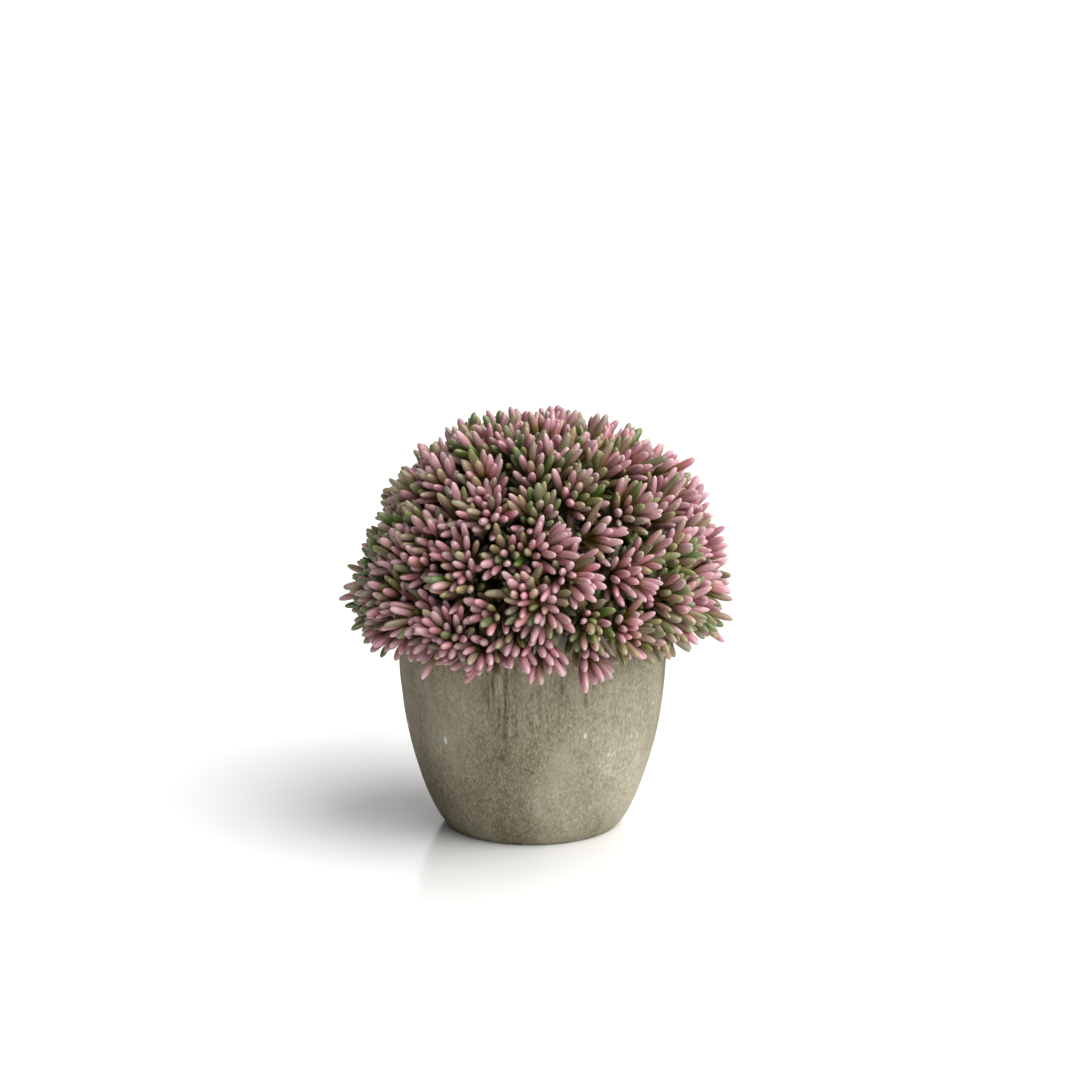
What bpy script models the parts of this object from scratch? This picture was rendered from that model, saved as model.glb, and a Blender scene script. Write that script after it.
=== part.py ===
"""A potted sedum: a cushion of fleshy leaves on forked stems, rooted in soil in a rounded pot like cast stone.

Metres, +Z up. The origin is the middle of the pot's underside, on the surface that the pot stands on.
"""

import itertools
import math

import bmesh
import bpy
import numpy as np
from mathutils import Vector

MM = 0.001
GAP = 0.3 * MM  # clearance where one piece rests against another

# The pot
POT_HEIGHT = 78 * MM
POT_WALL = 4 * MM
POT_FLOOR = 5 * MM
POT_SEGMENTS = 32
BASE_RADIUS = 28.5 * MM  # the flat that the pot stands on
FOOT_CONTROL = (31.2 * MM, 0.5 * MM)  # rounds the base into the wall
FOOT_TOP = 10.5 * MM
FOOT_STEPS = 3
WALL_START_RADIUS = 31 * MM  # the wall's own curve, carried down to the base
WALL_FLARE = 14.6 * MM
WALL_SHOULDER = 66 * MM  # above this height the wall is upright
WALL_POWER = 2.2
WALL_STEPS = 6
INNER_WALL_STEPS = 3
LIP_STEPS = 4

# The soil
SOIL_BELOW_RIM = 10 * MM
ROOT_DEPTH = 12 * MM
ROOTS_RADIUS = 34 * MM

# The head, a ball of leaf tips centred over the pot's rim, turned in below it to a skirt of hanging leaves
TIPS_RADIUS = 68 * MM
SKIRT_START = math.radians(-5)  # the ball ends where it faces this far down
SKIRT_RADIUS = 17 * MM

# Stems, each forked into branches that end in a tuft of leaves
STEMS = 42
BRANCHES = 3
LOWEST_STEM = math.radians(-14)
LOWEST_SPREAD = math.radians(2)  # a tuft that would face lower than this hangs over the rim instead
HANGING_TUFT = math.radians(-55)
FORK_SPREAD = 9 * MM  # from the middle of a stem's tufts to each tuft, before the tufts push apart
PUSH_REACH = 20 * MM
PUSH = 0.08
PUSH_ROUNDS = 60
FORK_RADIUS = 38 * MM
LOW_FORK_RADIUS = 45 * MM  # the lowest branches fork here, over the rim, and hang down outside it
LOW_FORK_ELEVATION = math.radians(12)
HIGH_FORK_ELEVATION = math.radians(40)
STEM_THICKNESS = 1.15 * MM
STEM_SIDES = 4
BRANCH_THICKNESS = 0.6 * MM
CORE_THICKNESS = 3.6 * MM  # the middle of a branch, crowded with small old leaves
CORE_SHARE = 0.65  # how far along the branch that is
BUD_THICKNESS = 1.1 * MM
BUD_SIDES = 3
BAND = 2.6 * MM  # the length of branch that one whorl of leaves stands on

# Leaves
LEAF_LENGTH = 13.5 * MM
LENGTH_VARIES = 1.2 * MM
LEAF_WIDTH = 3.1 * MM
LEAF_DEPTH = 2.7 * MM
LEAF_BELLY = 0.75  # share of the length where a leaf is widest
LEAF_BEND = 0.5 * MM
CLEARANCE_SHARES = (0.5, 0.6, 0.7, 0.8, 0.9)  # where along a leaf its clearance is tried
WHORLS = ((48, 33), (38, 27), (25, 20))  # degrees of tilt, and the least tilt kept, from the lowest whorl up
TILT_VARIES = 3  # degrees
TILT_STEP = 1
SEED = 7

GOLDEN = (math.sqrt(5) - 1) / 2
UP = Vector((0, 0, 1))
HEAD_CENTRE = Vector((0, 0, POT_HEIGHT))
BELLY_CORNERS = (  # a leaf's cross-section at its widest, across and deep
    (-LEAF_WIDTH / 2, -LEAF_DEPTH / 3),
    (LEAF_WIDTH / 2, -LEAF_DEPTH / 3),
    (0, LEAF_DEPTH * 2 / 3),
)
LEAF_REACH = max(math.hypot(*corner) for corner in BELLY_CORNERS)
SKIRT_INSET = TIPS_RADIUS - SKIRT_RADIUS  # from the head's centre to the middle of the skirt's curve
SOIL_TOP = POT_HEIGHT - SOIL_BELOW_RIM


def clear_scene():
    for obj in list(bpy.data.objects):
        bpy.data.objects.remove(obj, do_unlink=True)


def material(name, colour, roughness):
    made = bpy.data.materials.new(name)
    made.use_nodes = True
    shader = made.node_tree.nodes["Principled BSDF"]
    shader.inputs["Base Color"].default_value = (*colour, 1)
    shader.inputs["Roughness"].default_value = roughness
    shader.inputs["Metallic"].default_value = 0
    return made


def add_object(name, bm, finish):
    mesh = bpy.data.meshes.new(name)
    bmesh.ops.recalc_face_normals(bm, faces=bm.faces)
    bm.to_mesh(mesh)
    bm.free()
    mesh.materials.append(finish)
    obj = bpy.data.objects.new(name, mesh)
    bpy.context.scene.collection.objects.link(obj)
    return obj


# The pot and its soil


def wall_radius(height):
    """The pot's outer radius at a height."""
    if height < FOOT_TOP:
        end = wall_radius(FOOT_TOP)
        share = solve_foot(height)
        return (
            BASE_RADIUS * (1 - share) ** 2
            + 2 * FOOT_CONTROL[0] * share * (1 - share)
            + end * share**2
        )
    rise = min(height / WALL_SHOULDER, 1)
    return WALL_START_RADIUS + WALL_FLARE * (1 - (1 - rise) ** WALL_POWER)


def solve_foot(height):
    """How far along the foot's curve a height lies: the foot is a quadratic curve with one control point."""
    a = FOOT_TOP - 2 * FOOT_CONTROL[1]
    b = 2 * FOOT_CONTROL[1]
    return (-b + math.sqrt(b * b + 4 * a * height)) / (2 * a)


def even_heights(start, end, steps):
    return [start + (end - start) * step / steps for step in range(steps + 1)]


def pot_profile():
    """From the underside's edge, up the outer wall, over the lip and down the inside to the floor's edge."""
    outline = []
    for step in range(FOOT_STEPS):
        height = FOOT_TOP * (step / FOOT_STEPS) ** 2
        outline.append((wall_radius(height), height))
    lip = POT_WALL / 2
    for height in even_heights(FOOT_TOP, POT_HEIGHT - lip, WALL_STEPS):
        outline.append((wall_radius(height), height))
    middle = wall_radius(POT_HEIGHT) - lip
    for step in range(1, LIP_STEPS):
        turn = math.pi * step / LIP_STEPS
        outline.append((middle + lip * math.cos(turn), POT_HEIGHT - lip + lip * math.sin(turn)))
    for height in reversed(even_heights(FOOT_TOP, POT_HEIGHT - lip, INNER_WALL_STEPS)):
        outline.append((wall_radius(height) - POT_WALL, height))
    outline.append((wall_radius(POT_FLOOR) - POT_WALL, POT_FLOOR))
    return outline


def soil_profile():
    """From the edge of the underside, along the inside of the pot, to the edge of the flat top."""
    room = POT_WALL + GAP
    outline = [(wall_radius(POT_FLOOR + GAP) - room - GAP, POT_FLOOR + GAP)]
    for height in even_heights(FOOT_TOP, POT_HEIGHT - POT_WALL / 2, INNER_WALL_STEPS):
        if height < SOIL_TOP:
            outline.append((wall_radius(height) - room, height))
    outline.append((wall_radius(SOIL_TOP) - room, SOIL_TOP))
    return outline


def turned(name, outline, finish):
    """A solid turned from an outline, whose two ends are closed with flat discs."""
    bm = bmesh.new()
    corners = [bm.verts.new((radius, 0, height)) for radius, height in outline]
    edges = [bm.edges.new(pair) for pair in zip(corners, corners[1:])]
    bmesh.ops.spin(
        bm,
        geom=corners + edges,
        cent=(0, 0, 0),
        axis=(0, 0, 1),
        angle=2 * math.pi,
        steps=POT_SEGMENTS,
    )
    bmesh.ops.remove_doubles(bm, verts=bm.verts, dist=0.01 * MM)
    bmesh.ops.holes_fill(bm, edges=[edge for edge in bm.edges if edge.is_boundary])
    obj = add_object(name, bm, finish)
    obj.data.shade_smooth()
    obj.data.set_sharp_from_angle(angle=math.radians(35))
    return obj


# The head's surface


def facing(elevation, azimuth):
    return Vector((
        math.cos(elevation) * math.cos(azimuth),
        math.cos(elevation) * math.sin(azimuth),
        math.sin(elevation),
    ))


def on_head(elevation, azimuth, depth=0.0):
    """The point under the head's surface, at a depth, where that surface faces this way."""
    out = facing(elevation, azimuth)
    if elevation >= SKIRT_START:
        return HEAD_CENTRE + out * (TIPS_RADIUS - depth)
    return HEAD_CENTRE + facing(SKIRT_START, azimuth) * SKIRT_INSET + out * (SKIRT_RADIUS - depth)


def head_faces(point):
    """The elevation and azimuth that the head's surface faces where it is nearest to a point."""
    x, y, z = point - HEAD_CENTRE
    azimuth = math.atan2(y, x)
    elevation = math.atan2(z, math.hypot(x, y))
    if elevation < SKIRT_START:
        x, y, z = point - HEAD_CENTRE - facing(SKIRT_START, azimuth) * SKIRT_INSET
        elevation = math.atan2(z, x * math.cos(azimuth) + y * math.sin(azimuth))
    return elevation, azimuth


# Where the stems and their tufts of leaves go


def stem_ways():
    """The elevation and azimuth that each stem grows towards, spread over the head by a golden spiral."""
    for index in range(STEMS):
        height = 1 - (1 - math.sin(LOWEST_STEM)) * (index + 0.5) / STEMS
        yield math.asin(height), 2 * math.pi * GOLDEN * index


def spread_tufts():
    """The elevation and azimuth that each tuft faces, stem by stem.

    A stem's tufts start round its middle, and then all tufts push their neighbours away along the head's
    surface until they are evenly spread.
    """
    tufts = []
    for index, (elevation, azimuth) in enumerate(stem_ways()):
        east = Vector((-math.sin(azimuth), math.cos(azimuth), 0))
        north = facing(elevation, azimuth).cross(east)
        for branch in range(BRANCHES):
            turn = 2 * math.pi * (branch / BRANCHES + index * GOLDEN)
            aside = (east * math.cos(turn) + north * math.sin(turn)) * FORK_SPREAD
            tufts.append(head_faces(on_head(elevation, azimuth, LEAF_LENGTH) + aside))
    for _ in range(PUSH_ROUNDS):
        places = [on_head(*tuft, LEAF_LENGTH) for tuft in tufts]
        for index, place in enumerate(places):
            push = Vector()
            for other in places:
                apart = (place - other).length
                if 0 < apart < PUSH_REACH:
                    push += (place - other) * (PUSH_REACH / apart - 1) * PUSH
            elevation, azimuth = head_faces(place + push)
            tufts[index] = (elevation if elevation > LOWEST_SPREAD else HANGING_TUFT, azimuth)
    return [tufts[first : first + BRANCHES] for first in range(0, len(tufts), BRANCHES)]


def stem_path(index, elevation, azimuth):
    """From the bottom of the stem's hole in the soil, up through the surface, to its fork inside the head."""
    root = facing(0, azimuth) * ROOTS_RADIUS * math.sqrt((index + 0.5) / STEMS)
    root.z = SOIL_TOP
    climb = min((elevation - LOWEST_STEM) / (HIGH_FORK_ELEVATION - LOWEST_STEM), 1)
    fork_elevation = LOW_FORK_ELEVATION + (HIGH_FORK_ELEVATION - LOW_FORK_ELEVATION) * climb
    fork_radius = LOW_FORK_RADIUS + (FORK_RADIUS - LOW_FORK_RADIUS) * climb
    fork = HEAD_CENTRE + facing(max(elevation, fork_elevation), azimuth) * fork_radius
    return [root - UP * ROOT_DEPTH, root, fork]


def leaf_thickness(share):
    """From a leaf's middle line to its furthest corner, at a share of its length."""
    if share < LEAF_BELLY:
        return BUD_THICKNESS + (LEAF_REACH - BUD_THICKNESS) * share / LEAF_BELLY
    return LEAF_REACH * (1 - share) / (1 - LEAF_BELLY)


def limb_thickness(_share):
    """The room that a limb needs, the same all along it."""
    return BUD_THICKNESS + GAP


def reach_to(point, start, end):
    """The distance from a point to the line between two ends, and how far along that line is nearest."""
    along = end - start
    share = min(max((point - start).dot(along) / along.length_squared, 0), 1)
    return (point - start.lerp(end, share)).length, share


def come_together(foot, tip, start, end, thickness_at):
    """Whether the outer part of a leaf reaches a limb or another leaf, given by its ends."""
    for share in CLEARANCE_SHARES:
        apart, nearest = reach_to(foot.lerp(tip, share), start, end)
        if apart < leaf_thickness(share) + thickness_at(nearest):
            return True
    return False


def trade_tufts(paths, groups):
    """Swaps tufts between stems as long as that shortens their branches, which then don't cross."""
    traded = True
    while traded:
        traded = False
        for (path, group), (other_path, others) in itertools.combinations(zip(paths, groups), 2):
            for mine, theirs in itertools.product(range(BRANCHES), repeat=2):
                tuft, other = group[mine], others[theirs]
                now = tuft.branch_length(path) + other.branch_length(other_path)
                if tuft.branch_length(other_path) + other.branch_length(path) < now - GAP:
                    group[mine], others[theirs] = other, tuft
                    traded = True


# Building a leafy stem


def limb(bm, points, ways, thicknesses, sides, twists=None):
    """A closed, tapered tube through the points, with a ring of corners at each, across the way it goes.

    A ring may be twisted from the one before. The rings are returned.
    """
    rings = []
    twists = twists or [0] * len(points)
    across = ways[0].orthogonal().normalized()
    last_way = ways[0]
    for point, way, thickness, twist in zip(points, ways, thicknesses, twists):
        across = last_way.rotation_difference(way) @ across
        last_way = way
        deep = way.cross(across)
        ring = []
        for side in range(sides):
            turn = 2 * math.pi * side / sides + twist
            ring.append(bm.verts.new(point + (across * math.cos(turn) + deep * math.sin(turn)) * thickness))
        rings.append(ring)
    for low, high, turned_on in zip(rings, rings[1:], twists[1:]):
        for side in range(sides):
            after = (side + 1) % sides
            if turned_on:
                bm.faces.new((low[side], low[after], high[side]))
                bm.faces.new((low[after], high[after], high[side]))
            else:
                bm.faces.new((low[side], low[after], high[after], high[side]))
    bm.faces.new(rings[0])
    bm.faces.new(rings[-1])
    return rings


def raise_leaf(bm, root, foot, tip):
    """Raises a leaf from a three-sided face of a branch: out to the leaf's belly, and on to its tip."""
    bm.faces.remove(bm.faces.get(root))
    way = (tip - foot).normalized()
    across = root[1].co - root[0].co
    across = (across - way * across.dot(way)).normalized()
    deep = way.cross(across)
    middle = foot.lerp(tip, LEAF_BELLY) - deep * LEAF_BEND
    belly = [bm.verts.new(middle + across * x + deep * y) for x, y in BELLY_CORNERS]
    end = bm.verts.new(tip)
    for side in range(3):
        after = (side + 1) % 3
        bm.faces.new((root[side], root[after], belly[after], belly[side]))
        bm.faces.new((belly[side], belly[after], end))


class Tuft:
    """The end of a branch, with the leaves that stand on it."""

    def __init__(self, elevation, azimuth):
        self.out = facing(elevation, azimuth)
        self.end = on_head(elevation, azimuth, LEAF_LENGTH)
        self.room = []  # the planes that its leaves keep behind: the way each faces, and how far out it lies
        self.limbs = []  # the branches and stems that its leaves keep off, by their ends
        self.leaves = []  # each by its foot and its tip

    def keep_off(self, path, tufts, rival):
        """Its leaves stay on their side of the plane midway to each tuft, and off a rival stem's branches."""
        for other in tufts:
            apart = other.end - self.end
            if 0 < apart.length < 2 * LEAF_LENGTH:
                self.room.append((apart.normalized(), (apart.length - GAP) / 2))
            if rival and apart.length < 3 * LEAF_LENGTH:
                self.limbs.append((path[2], other.bud_start()))
                self.limbs.append((path[1], path[2]))

    def bud_start(self):
        return self.end - self.out * BAND * len(WHORLS)

    def branch_length(self, path):
        return (self.bud_start() - path[2]).length

    def core_thickness(self, point):
        """How thick the branch is at a point, clear of the lip, other stems' branches and its own leaves."""
        lip = POT_WALL / 2
        lip_middle = wall_radius(POT_HEIGHT) - lip
        off_lip = math.hypot(point.xy.length - lip_middle, point.z - POT_HEIGHT + lip) - lip
        off_limbs = min(reach_to(point, *ends)[0] for ends in self.limbs) / 2
        ahead = self.bud_start() - point
        behind_leaves = (ahead.dot(self.out) - GAP) * ahead.length / ahead.cross(self.out).length
        return max(min(CORE_THICKNESS, off_limbs - GAP, off_lip - GAP, behind_leaves), BRANCH_THICKNESS)

    def fits(self, foot, tip):
        belly = foot.lerp(tip, LEAF_BELLY)
        for point in (belly, tip):
            wall = wall_radius(min(point.z, POT_HEIGHT))
            if point.z < POT_HEIGHT + LEAF_REACH and point.xy.length < wall + LEAF_REACH + GAP:
                return False
        for way, room in self.room:
            if (tip - self.end).dot(way) > room or (belly - self.end).dot(way) > room - LEAF_REACH:
                return False
        if any(come_together(foot, tip, *ends, limb_thickness) for ends in self.limbs):
            return False
        return not any(come_together(foot, tip, *leaf, leaf_thickness) for leaf in self.leaves)

    def lay_leaf(self, foot, aside, tilt, least, length):
        """The tip of a leaf that leans aside as far as there is room, or None where there isn't any."""
        while tilt > least:
            turn = math.radians(tilt)
            tip = foot + (self.out * math.cos(turn) + aside * math.sin(turn)) * length
            if self.fits(foot, tip):
                self.leaves.append((foot, tip))
                return tip
            tilt -= TILT_STEP
        return None

    def build(self, fork, draw):
        """The branch from its stem's fork, with whorls of leaves round its end and one leaf on the end."""
        bm = bmesh.new()
        core = fork.lerp(self.bud_start(), CORE_SHARE)
        points = [fork, core]
        twists = [0, 0]
        for whorl in range(len(WHORLS) + 1):
            points.append(self.end - self.out * BAND * (len(WHORLS) - whorl))
            twists.append(math.pi / BUD_SIDES * whorl)  # a whorl's leaves stand between those of the next
        ways = [(core - fork).normalized()] * 2 + [self.out] * (len(points) - 2)
        thicknesses = [BRANCH_THICKNESS, self.core_thickness(core)] + [BUD_THICKNESS] * (len(points) - 2)
        rings = limb(bm, points, ways, thicknesses, BUD_SIDES, twists)
        for (tilt, least), low, high, point in zip(WHORLS, rings[2:], rings[3:], points[2:]):
            foot = point + self.out * BAND / 3
            for side in range(BUD_SIDES):
                after = (side + 1) % BUD_SIDES
                aside = (low[after].co - low[side].co).cross(self.out).normalized()
                length = LEAF_LENGTH + LENGTH_VARIES * draw.uniform(-1, 1)
                tip = self.lay_leaf(foot, aside, tilt + TILT_VARIES * draw.uniform(-1, 1), least, length)
                if tip:
                    raise_leaf(bm, (low[side], low[after], high[side]), foot, tip)
        raise_leaf(bm, rings[-1], self.end, self.end + self.out * LEAF_LENGTH)
        return bm


def keep_outer_shell(mesh):
    """Fills any small hollow that the joined pieces seal, and drops any loose scrap.

    Only the largest connected surface stays.
    """
    bm = bmesh.new()
    bm.from_mesh(mesh)
    unseen = set(bm.verts)
    shells = []
    while unseen:
        front = [unseen.pop()]
        shell = list(front)
        while front:
            near = {edge.other_vert(vert) for vert in front for edge in vert.link_edges} & unseen
            unseen -= near
            shell += near
            front = list(near)
        shells.append(shell)
    largest = max(shells, key=len)
    for shell in shells:
        if shell is not largest:
            bmesh.ops.delete(bm, geom=shell, context="VERTS")
    bm.to_mesh(mesh)
    bm.free()


def fuse(name, trunk, pieces):
    """One closed body from a trunk and the pieces that stand in it."""
    group = bpy.data.collections.new(name)
    for piece in pieces:
        group.objects.link(piece)
    joined = trunk.modifiers.new("join", "BOOLEAN")
    joined.operation = "UNION"
    joined.solver = "MANIFOLD"
    joined.operand_type = "COLLECTION"
    joined.collection = group
    bpy.context.view_layer.update()
    graph = bpy.context.evaluated_depsgraph_get()
    mesh = bpy.data.meshes.new_from_object(trunk.evaluated_get(graph))
    keep_outer_shell(mesh)
    trunk.modifiers.clear()
    trunk.data = mesh
    trunk.name = name
    mesh.name = name
    for piece in pieces:
        bpy.data.objects.remove(piece, do_unlink=True)
    bpy.data.collections.remove(group)
    return trunk


def build_stem(name, path, tufts, draw, finish):
    bm = bmesh.new()
    rise = (path[2] - path[1]).normalized()
    limb(bm, path, [UP, UP, rise], [STEM_THICKNESS] * len(path), STEM_SIDES)
    trunk = add_object(name, bm, finish)
    crotch = path[2] - rise * STEM_THICKNESS
    branches = [add_object("branch", tuft.build(crotch, draw), finish) for tuft in tufts]
    return fuse(name, trunk, branches)


def build_soil(paths, finish):
    soil = turned("potting_soil", soil_profile(), finish)
    bm = bmesh.new()
    for foot, surface, _ in paths:
        wide = STEM_THICKNESS + GAP / math.cos(math.pi / STEM_SIDES)
        limb(bm, [foot - UP * GAP, surface + UP * MM], [UP, UP], [wide, wide], STEM_SIDES)
    holes = add_object("stem_holes", bm, finish)
    holes.hide_render = True
    holes.display_type = "WIRE"
    cut = soil.modifiers.new("stem holes", "BOOLEAN")
    cut.operation = "DIFFERENCE"
    cut.solver = "EXACT"
    cut.object = holes
    return soil


def main():
    clear_scene()
    stone = material("cast_stone", (0.25, 0.23, 0.165), 0.85)
    earth = material("soil", (0.035, 0.026, 0.018), 0.95)
    leaf = material("leaf", (0.50, 0.26, 0.28), 0.45)
    turned("pot", pot_profile(), stone)
    paths = [stem_path(index, *way) for index, way in enumerate(stem_ways())]
    build_soil(paths, earth)
    tufts = [[Tuft(*way) for way in ways] for ways in spread_tufts()]
    trade_tufts(paths, tufts)
    for group in tufts:
        for tuft in group:
            for path, others in zip(paths, tufts):
                tuft.keep_off(path, others, others is not group)
    draw = np.random.default_rng(SEED)
    for index, (path, group) in enumerate(zip(paths, tufts)):
        build_stem(f"leafy_stem_{index + 1:02d}", path, group, draw, leaf)


main()
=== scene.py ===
# %% [markdown]
# # A potted sedum
# This lesson dresses a plain solid model of a potted sedum: a small rounded pot like cast stone,
# under a tight ball of short fleshy leaves, dusty pink at their tips and olive at their bases.
# The solid model gives every place and size, and each cell here makes one piece or one finish.

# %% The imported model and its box
import math

import bmesh
import bpy
import numpy as np
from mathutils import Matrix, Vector, noise
from mathutils.kdtree import KDTree


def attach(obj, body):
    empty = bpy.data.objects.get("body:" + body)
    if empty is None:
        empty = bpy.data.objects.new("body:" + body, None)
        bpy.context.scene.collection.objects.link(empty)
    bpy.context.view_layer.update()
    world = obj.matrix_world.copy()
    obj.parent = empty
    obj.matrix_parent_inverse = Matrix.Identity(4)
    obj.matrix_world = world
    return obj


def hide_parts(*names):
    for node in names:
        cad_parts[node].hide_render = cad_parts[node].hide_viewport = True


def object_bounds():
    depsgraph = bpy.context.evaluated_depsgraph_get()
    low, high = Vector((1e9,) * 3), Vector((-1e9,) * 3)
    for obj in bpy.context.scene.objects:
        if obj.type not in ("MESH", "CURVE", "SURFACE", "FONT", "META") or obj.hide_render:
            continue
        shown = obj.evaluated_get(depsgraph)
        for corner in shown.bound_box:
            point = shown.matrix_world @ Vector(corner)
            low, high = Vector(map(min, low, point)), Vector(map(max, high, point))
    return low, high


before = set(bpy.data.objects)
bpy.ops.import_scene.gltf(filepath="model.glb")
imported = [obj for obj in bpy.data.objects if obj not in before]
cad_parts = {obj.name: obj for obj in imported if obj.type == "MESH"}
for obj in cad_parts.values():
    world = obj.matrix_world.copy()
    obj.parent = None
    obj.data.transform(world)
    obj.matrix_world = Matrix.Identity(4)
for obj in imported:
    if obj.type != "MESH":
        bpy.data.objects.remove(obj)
solid_box = [list(corner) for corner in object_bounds()]
MM = 0.001
print("solid model, lowest and highest corner:", solid_box)

# %% [markdown]
# ## Finishes out of small recipes
# A finish is a handful of shader nodes. They could be wired one by one, but the same few steps
# come back in every finish, so helpers take them over. The first ones start a finish, add a node
# to it, and fill sockets with numbers or with links to other nodes.


# %% Nodes and their sockets
def start_finish(name):
    finish = bpy.data.materials.new(name)
    finish.use_nodes = True
    return finish, finish.node_tree, finish.node_tree.nodes["Principled BSDF"]


def fill_socket(tree, socket, value):
    if isinstance(value, bpy.types.NodeSocket):
        tree.links.new(value, socket)
    else:
        socket.default_value = value


def fill_sockets(tree, node, sockets):
    for name, value in sockets.items():
        fill_socket(tree, node.inputs[name], value)


def add_node(tree, kind, sockets=None, **settings):
    made = tree.nodes.new("ShaderNode" + kind)
    for name, value in settings.items():
        setattr(made, name, value)
    fill_sockets(tree, made, sockets or {})
    return made


def paint(red, green, blue):
    """A colour picked on a screen, 0 to 255, without the screen's curve, as a shader wants it."""
    shares = [value / 255 for value in (red, green, blue)]
    return [s / 12.92 if s <= 0.04045 else ((s + 0.055) / 1.055) ** 2.4 for s in shares] + [1.0]


print("half grey on a screen is, to the shader:", round(paint(128, 128, 128)[0], 3))

# %% [markdown]
# ## Grains, ramps and blends
# Stone, soil and leaves are all mottled. A picture could be laid on them, but it would have seams
# and one fixed fineness. A grain is computed at each point instead, from the point's place. The
# helpers below make a grain, take it to another range, turn it into colours or small bumps, and
# lay one colour over another.


# %% Grains, ramps and blends
def reckon(tree, operation, *values):
    return add_node(tree, "Math", dict(enumerate(values)), operation=operation).outputs[0]


def spread(tree, value, low, high, start=0.0, end=1.0):
    """Takes a value from one range to another, smoothly, and holds it at the ends."""
    sockets = {"Value": value, "From Min": low, "From Max": high, "To Min": start, "To Max": end}
    return add_node(tree, "MapRange", sockets, interpolation_type="SMOOTHSTEP").outputs["Result"]


def grain(tree, where, scale, detail=2.0, roughness=0.5):
    """A soft noise, mostly between 0.2 and 0.8. The scale says how many spots fit along a metre."""
    sockets = {"Vector": where, "Scale": scale, "Detail": detail, "Roughness": roughness}
    return add_node(tree, "TexNoise", sockets).outputs["Fac"]


def colour_ramp(tree, value, stops):
    made = add_node(tree, "ValToRGB", {"Fac": value})
    ramp = made.color_ramp
    while len(ramp.elements) < len(stops):
        ramp.elements.new(0.5)
    for element, (place, colour) in zip(ramp.elements, stops):
        element.position = place
        element.color = colour
    return made.outputs["Color"]


def blend_colours(tree, share, first, second, way="MIX"):
    made = add_node(tree, "Mix", data_type="RGBA", blend_type=way)
    sockets = [socket for socket in made.inputs if socket.enabled]
    for socket, value in zip(sockets, (share, first, second)):
        fill_socket(tree, socket, value)
    return next(socket for socket in made.outputs if socket.enabled)


def bumps(tree, height, strength, depth):
    sockets = {"Height": height, "Strength": strength, "Distance": depth}
    return add_node(tree, "Bump", sockets).outputs["Normal"]


print("a grain of scale 500 has spots this far apart, mm:", 1 / 500 / MM)

# %% [markdown]
# ## White flecks in the stone
# The pot has a few small upright white flecks, like bits of shell in the mix. They could be
# modelled, but they lie flush with the wall, so colour is enough. A cell pattern is stretched
# upright, some of its cells are chosen by what they have drawn, and only the middles of those
# turn white.

# %% White flecks
DRAWN_DOWN = 0.5  # how fast the stone's grains change up and down, against across
FLECK_CELLS = 105  # to a metre
FLECK_FADES = (0.05, 0.11)  # a fleck fades out between these distances from its cell's middle
FLECK_CHOSEN = (0.45, 0.47)  # cells that have drawn more than this have a fleck


def stretch(tree, place, upright):
    """Places for a grain that changes more slowly up and down than across."""
    sockets = {"Vector": place, "Scale": (1.0, 1.0, upright)}
    return add_node(tree, "Mapping", sockets).outputs["Vector"]


def cell_pattern(tree, where, scale):
    """How far a point is from the middle of its cell, and the number that its cell has drawn."""
    cells = add_node(tree, "TexVoronoi", {"Vector": where, "Scale": scale, "Randomness": 1.0})
    drawn = add_node(tree, "SeparateColor", {"Color": cells.outputs["Color"]}).outputs["Red"]
    return cells.outputs["Distance"], drawn


def stone_flecks(tree, place):
    from_middle, drawn = cell_pattern(tree, stretch(tree, place, DRAWN_DOWN), FLECK_CELLS)
    middle = spread(tree, from_middle, *FLECK_FADES, 1.0, 0.0)
    return reckon(tree, "MULTIPLY", middle, spread(tree, drawn, *FLECK_CHOSEN))


print("fleck cells are this far apart, mm:", round(1 / FLECK_CELLS / MM, 1))

# %% [markdown]
# ## The pot's finish
# The pot looks cast from a stone-like mix: grey-brown and dry, with a fine sandy grain that is
# drawn out downwards, as if the mould had been brushed. It has large clouds, a finer mottle, dark
# streaks in its upper half, and a few smooth paler places. One noise could paint it, but each of
# those has a size of its own. So each gets its own grain, the grains are added up to one tone,
# and one ramp turns the tone into colour. The pale places and the flecks then lie over it.

# %% Cast stone
STONE_TONES = [
    (0.12, paint(52, 45, 31)),
    (0.32, paint(100, 92, 71)),
    (0.50, paint(135, 128, 107)),
    (0.68, paint(163, 156, 136)),
    (0.90, paint(206, 200, 182)),
]
PALE_STONE = paint(160, 154, 136)
FLECK_WHITE = paint(226, 224, 212)
CLOUDS, PALE_PLACES, STREAKS, MOTTLE, SAND = 40, 62, 620, 900, 1900  # spots to a metre
CLOUD_GAIN, STREAK_GAIN, MOTTLE_GAIN, SAND_GAIN = 0.8, 1.3, 0.52, 0.18  # in the tone
STREAKS_DRAWN_DOWN = 0.06
STREAKS_RISE = (28 * MM, 62 * MM)  # the heights where streaks begin and where they are strongest
STREAKED_CLOUDS = (0.56, 0.40)  # streaks lie in the darker clouds only
PALE_EDGE = (0.56, 0.68)  # where their grain passes these, the pale places begin and are full
PALE_SHARE, FLECK_SHARE = 0.45, 0.85  # how much they cover the stone
SAND_RELIEF = 0.7  # against the mottle's


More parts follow.
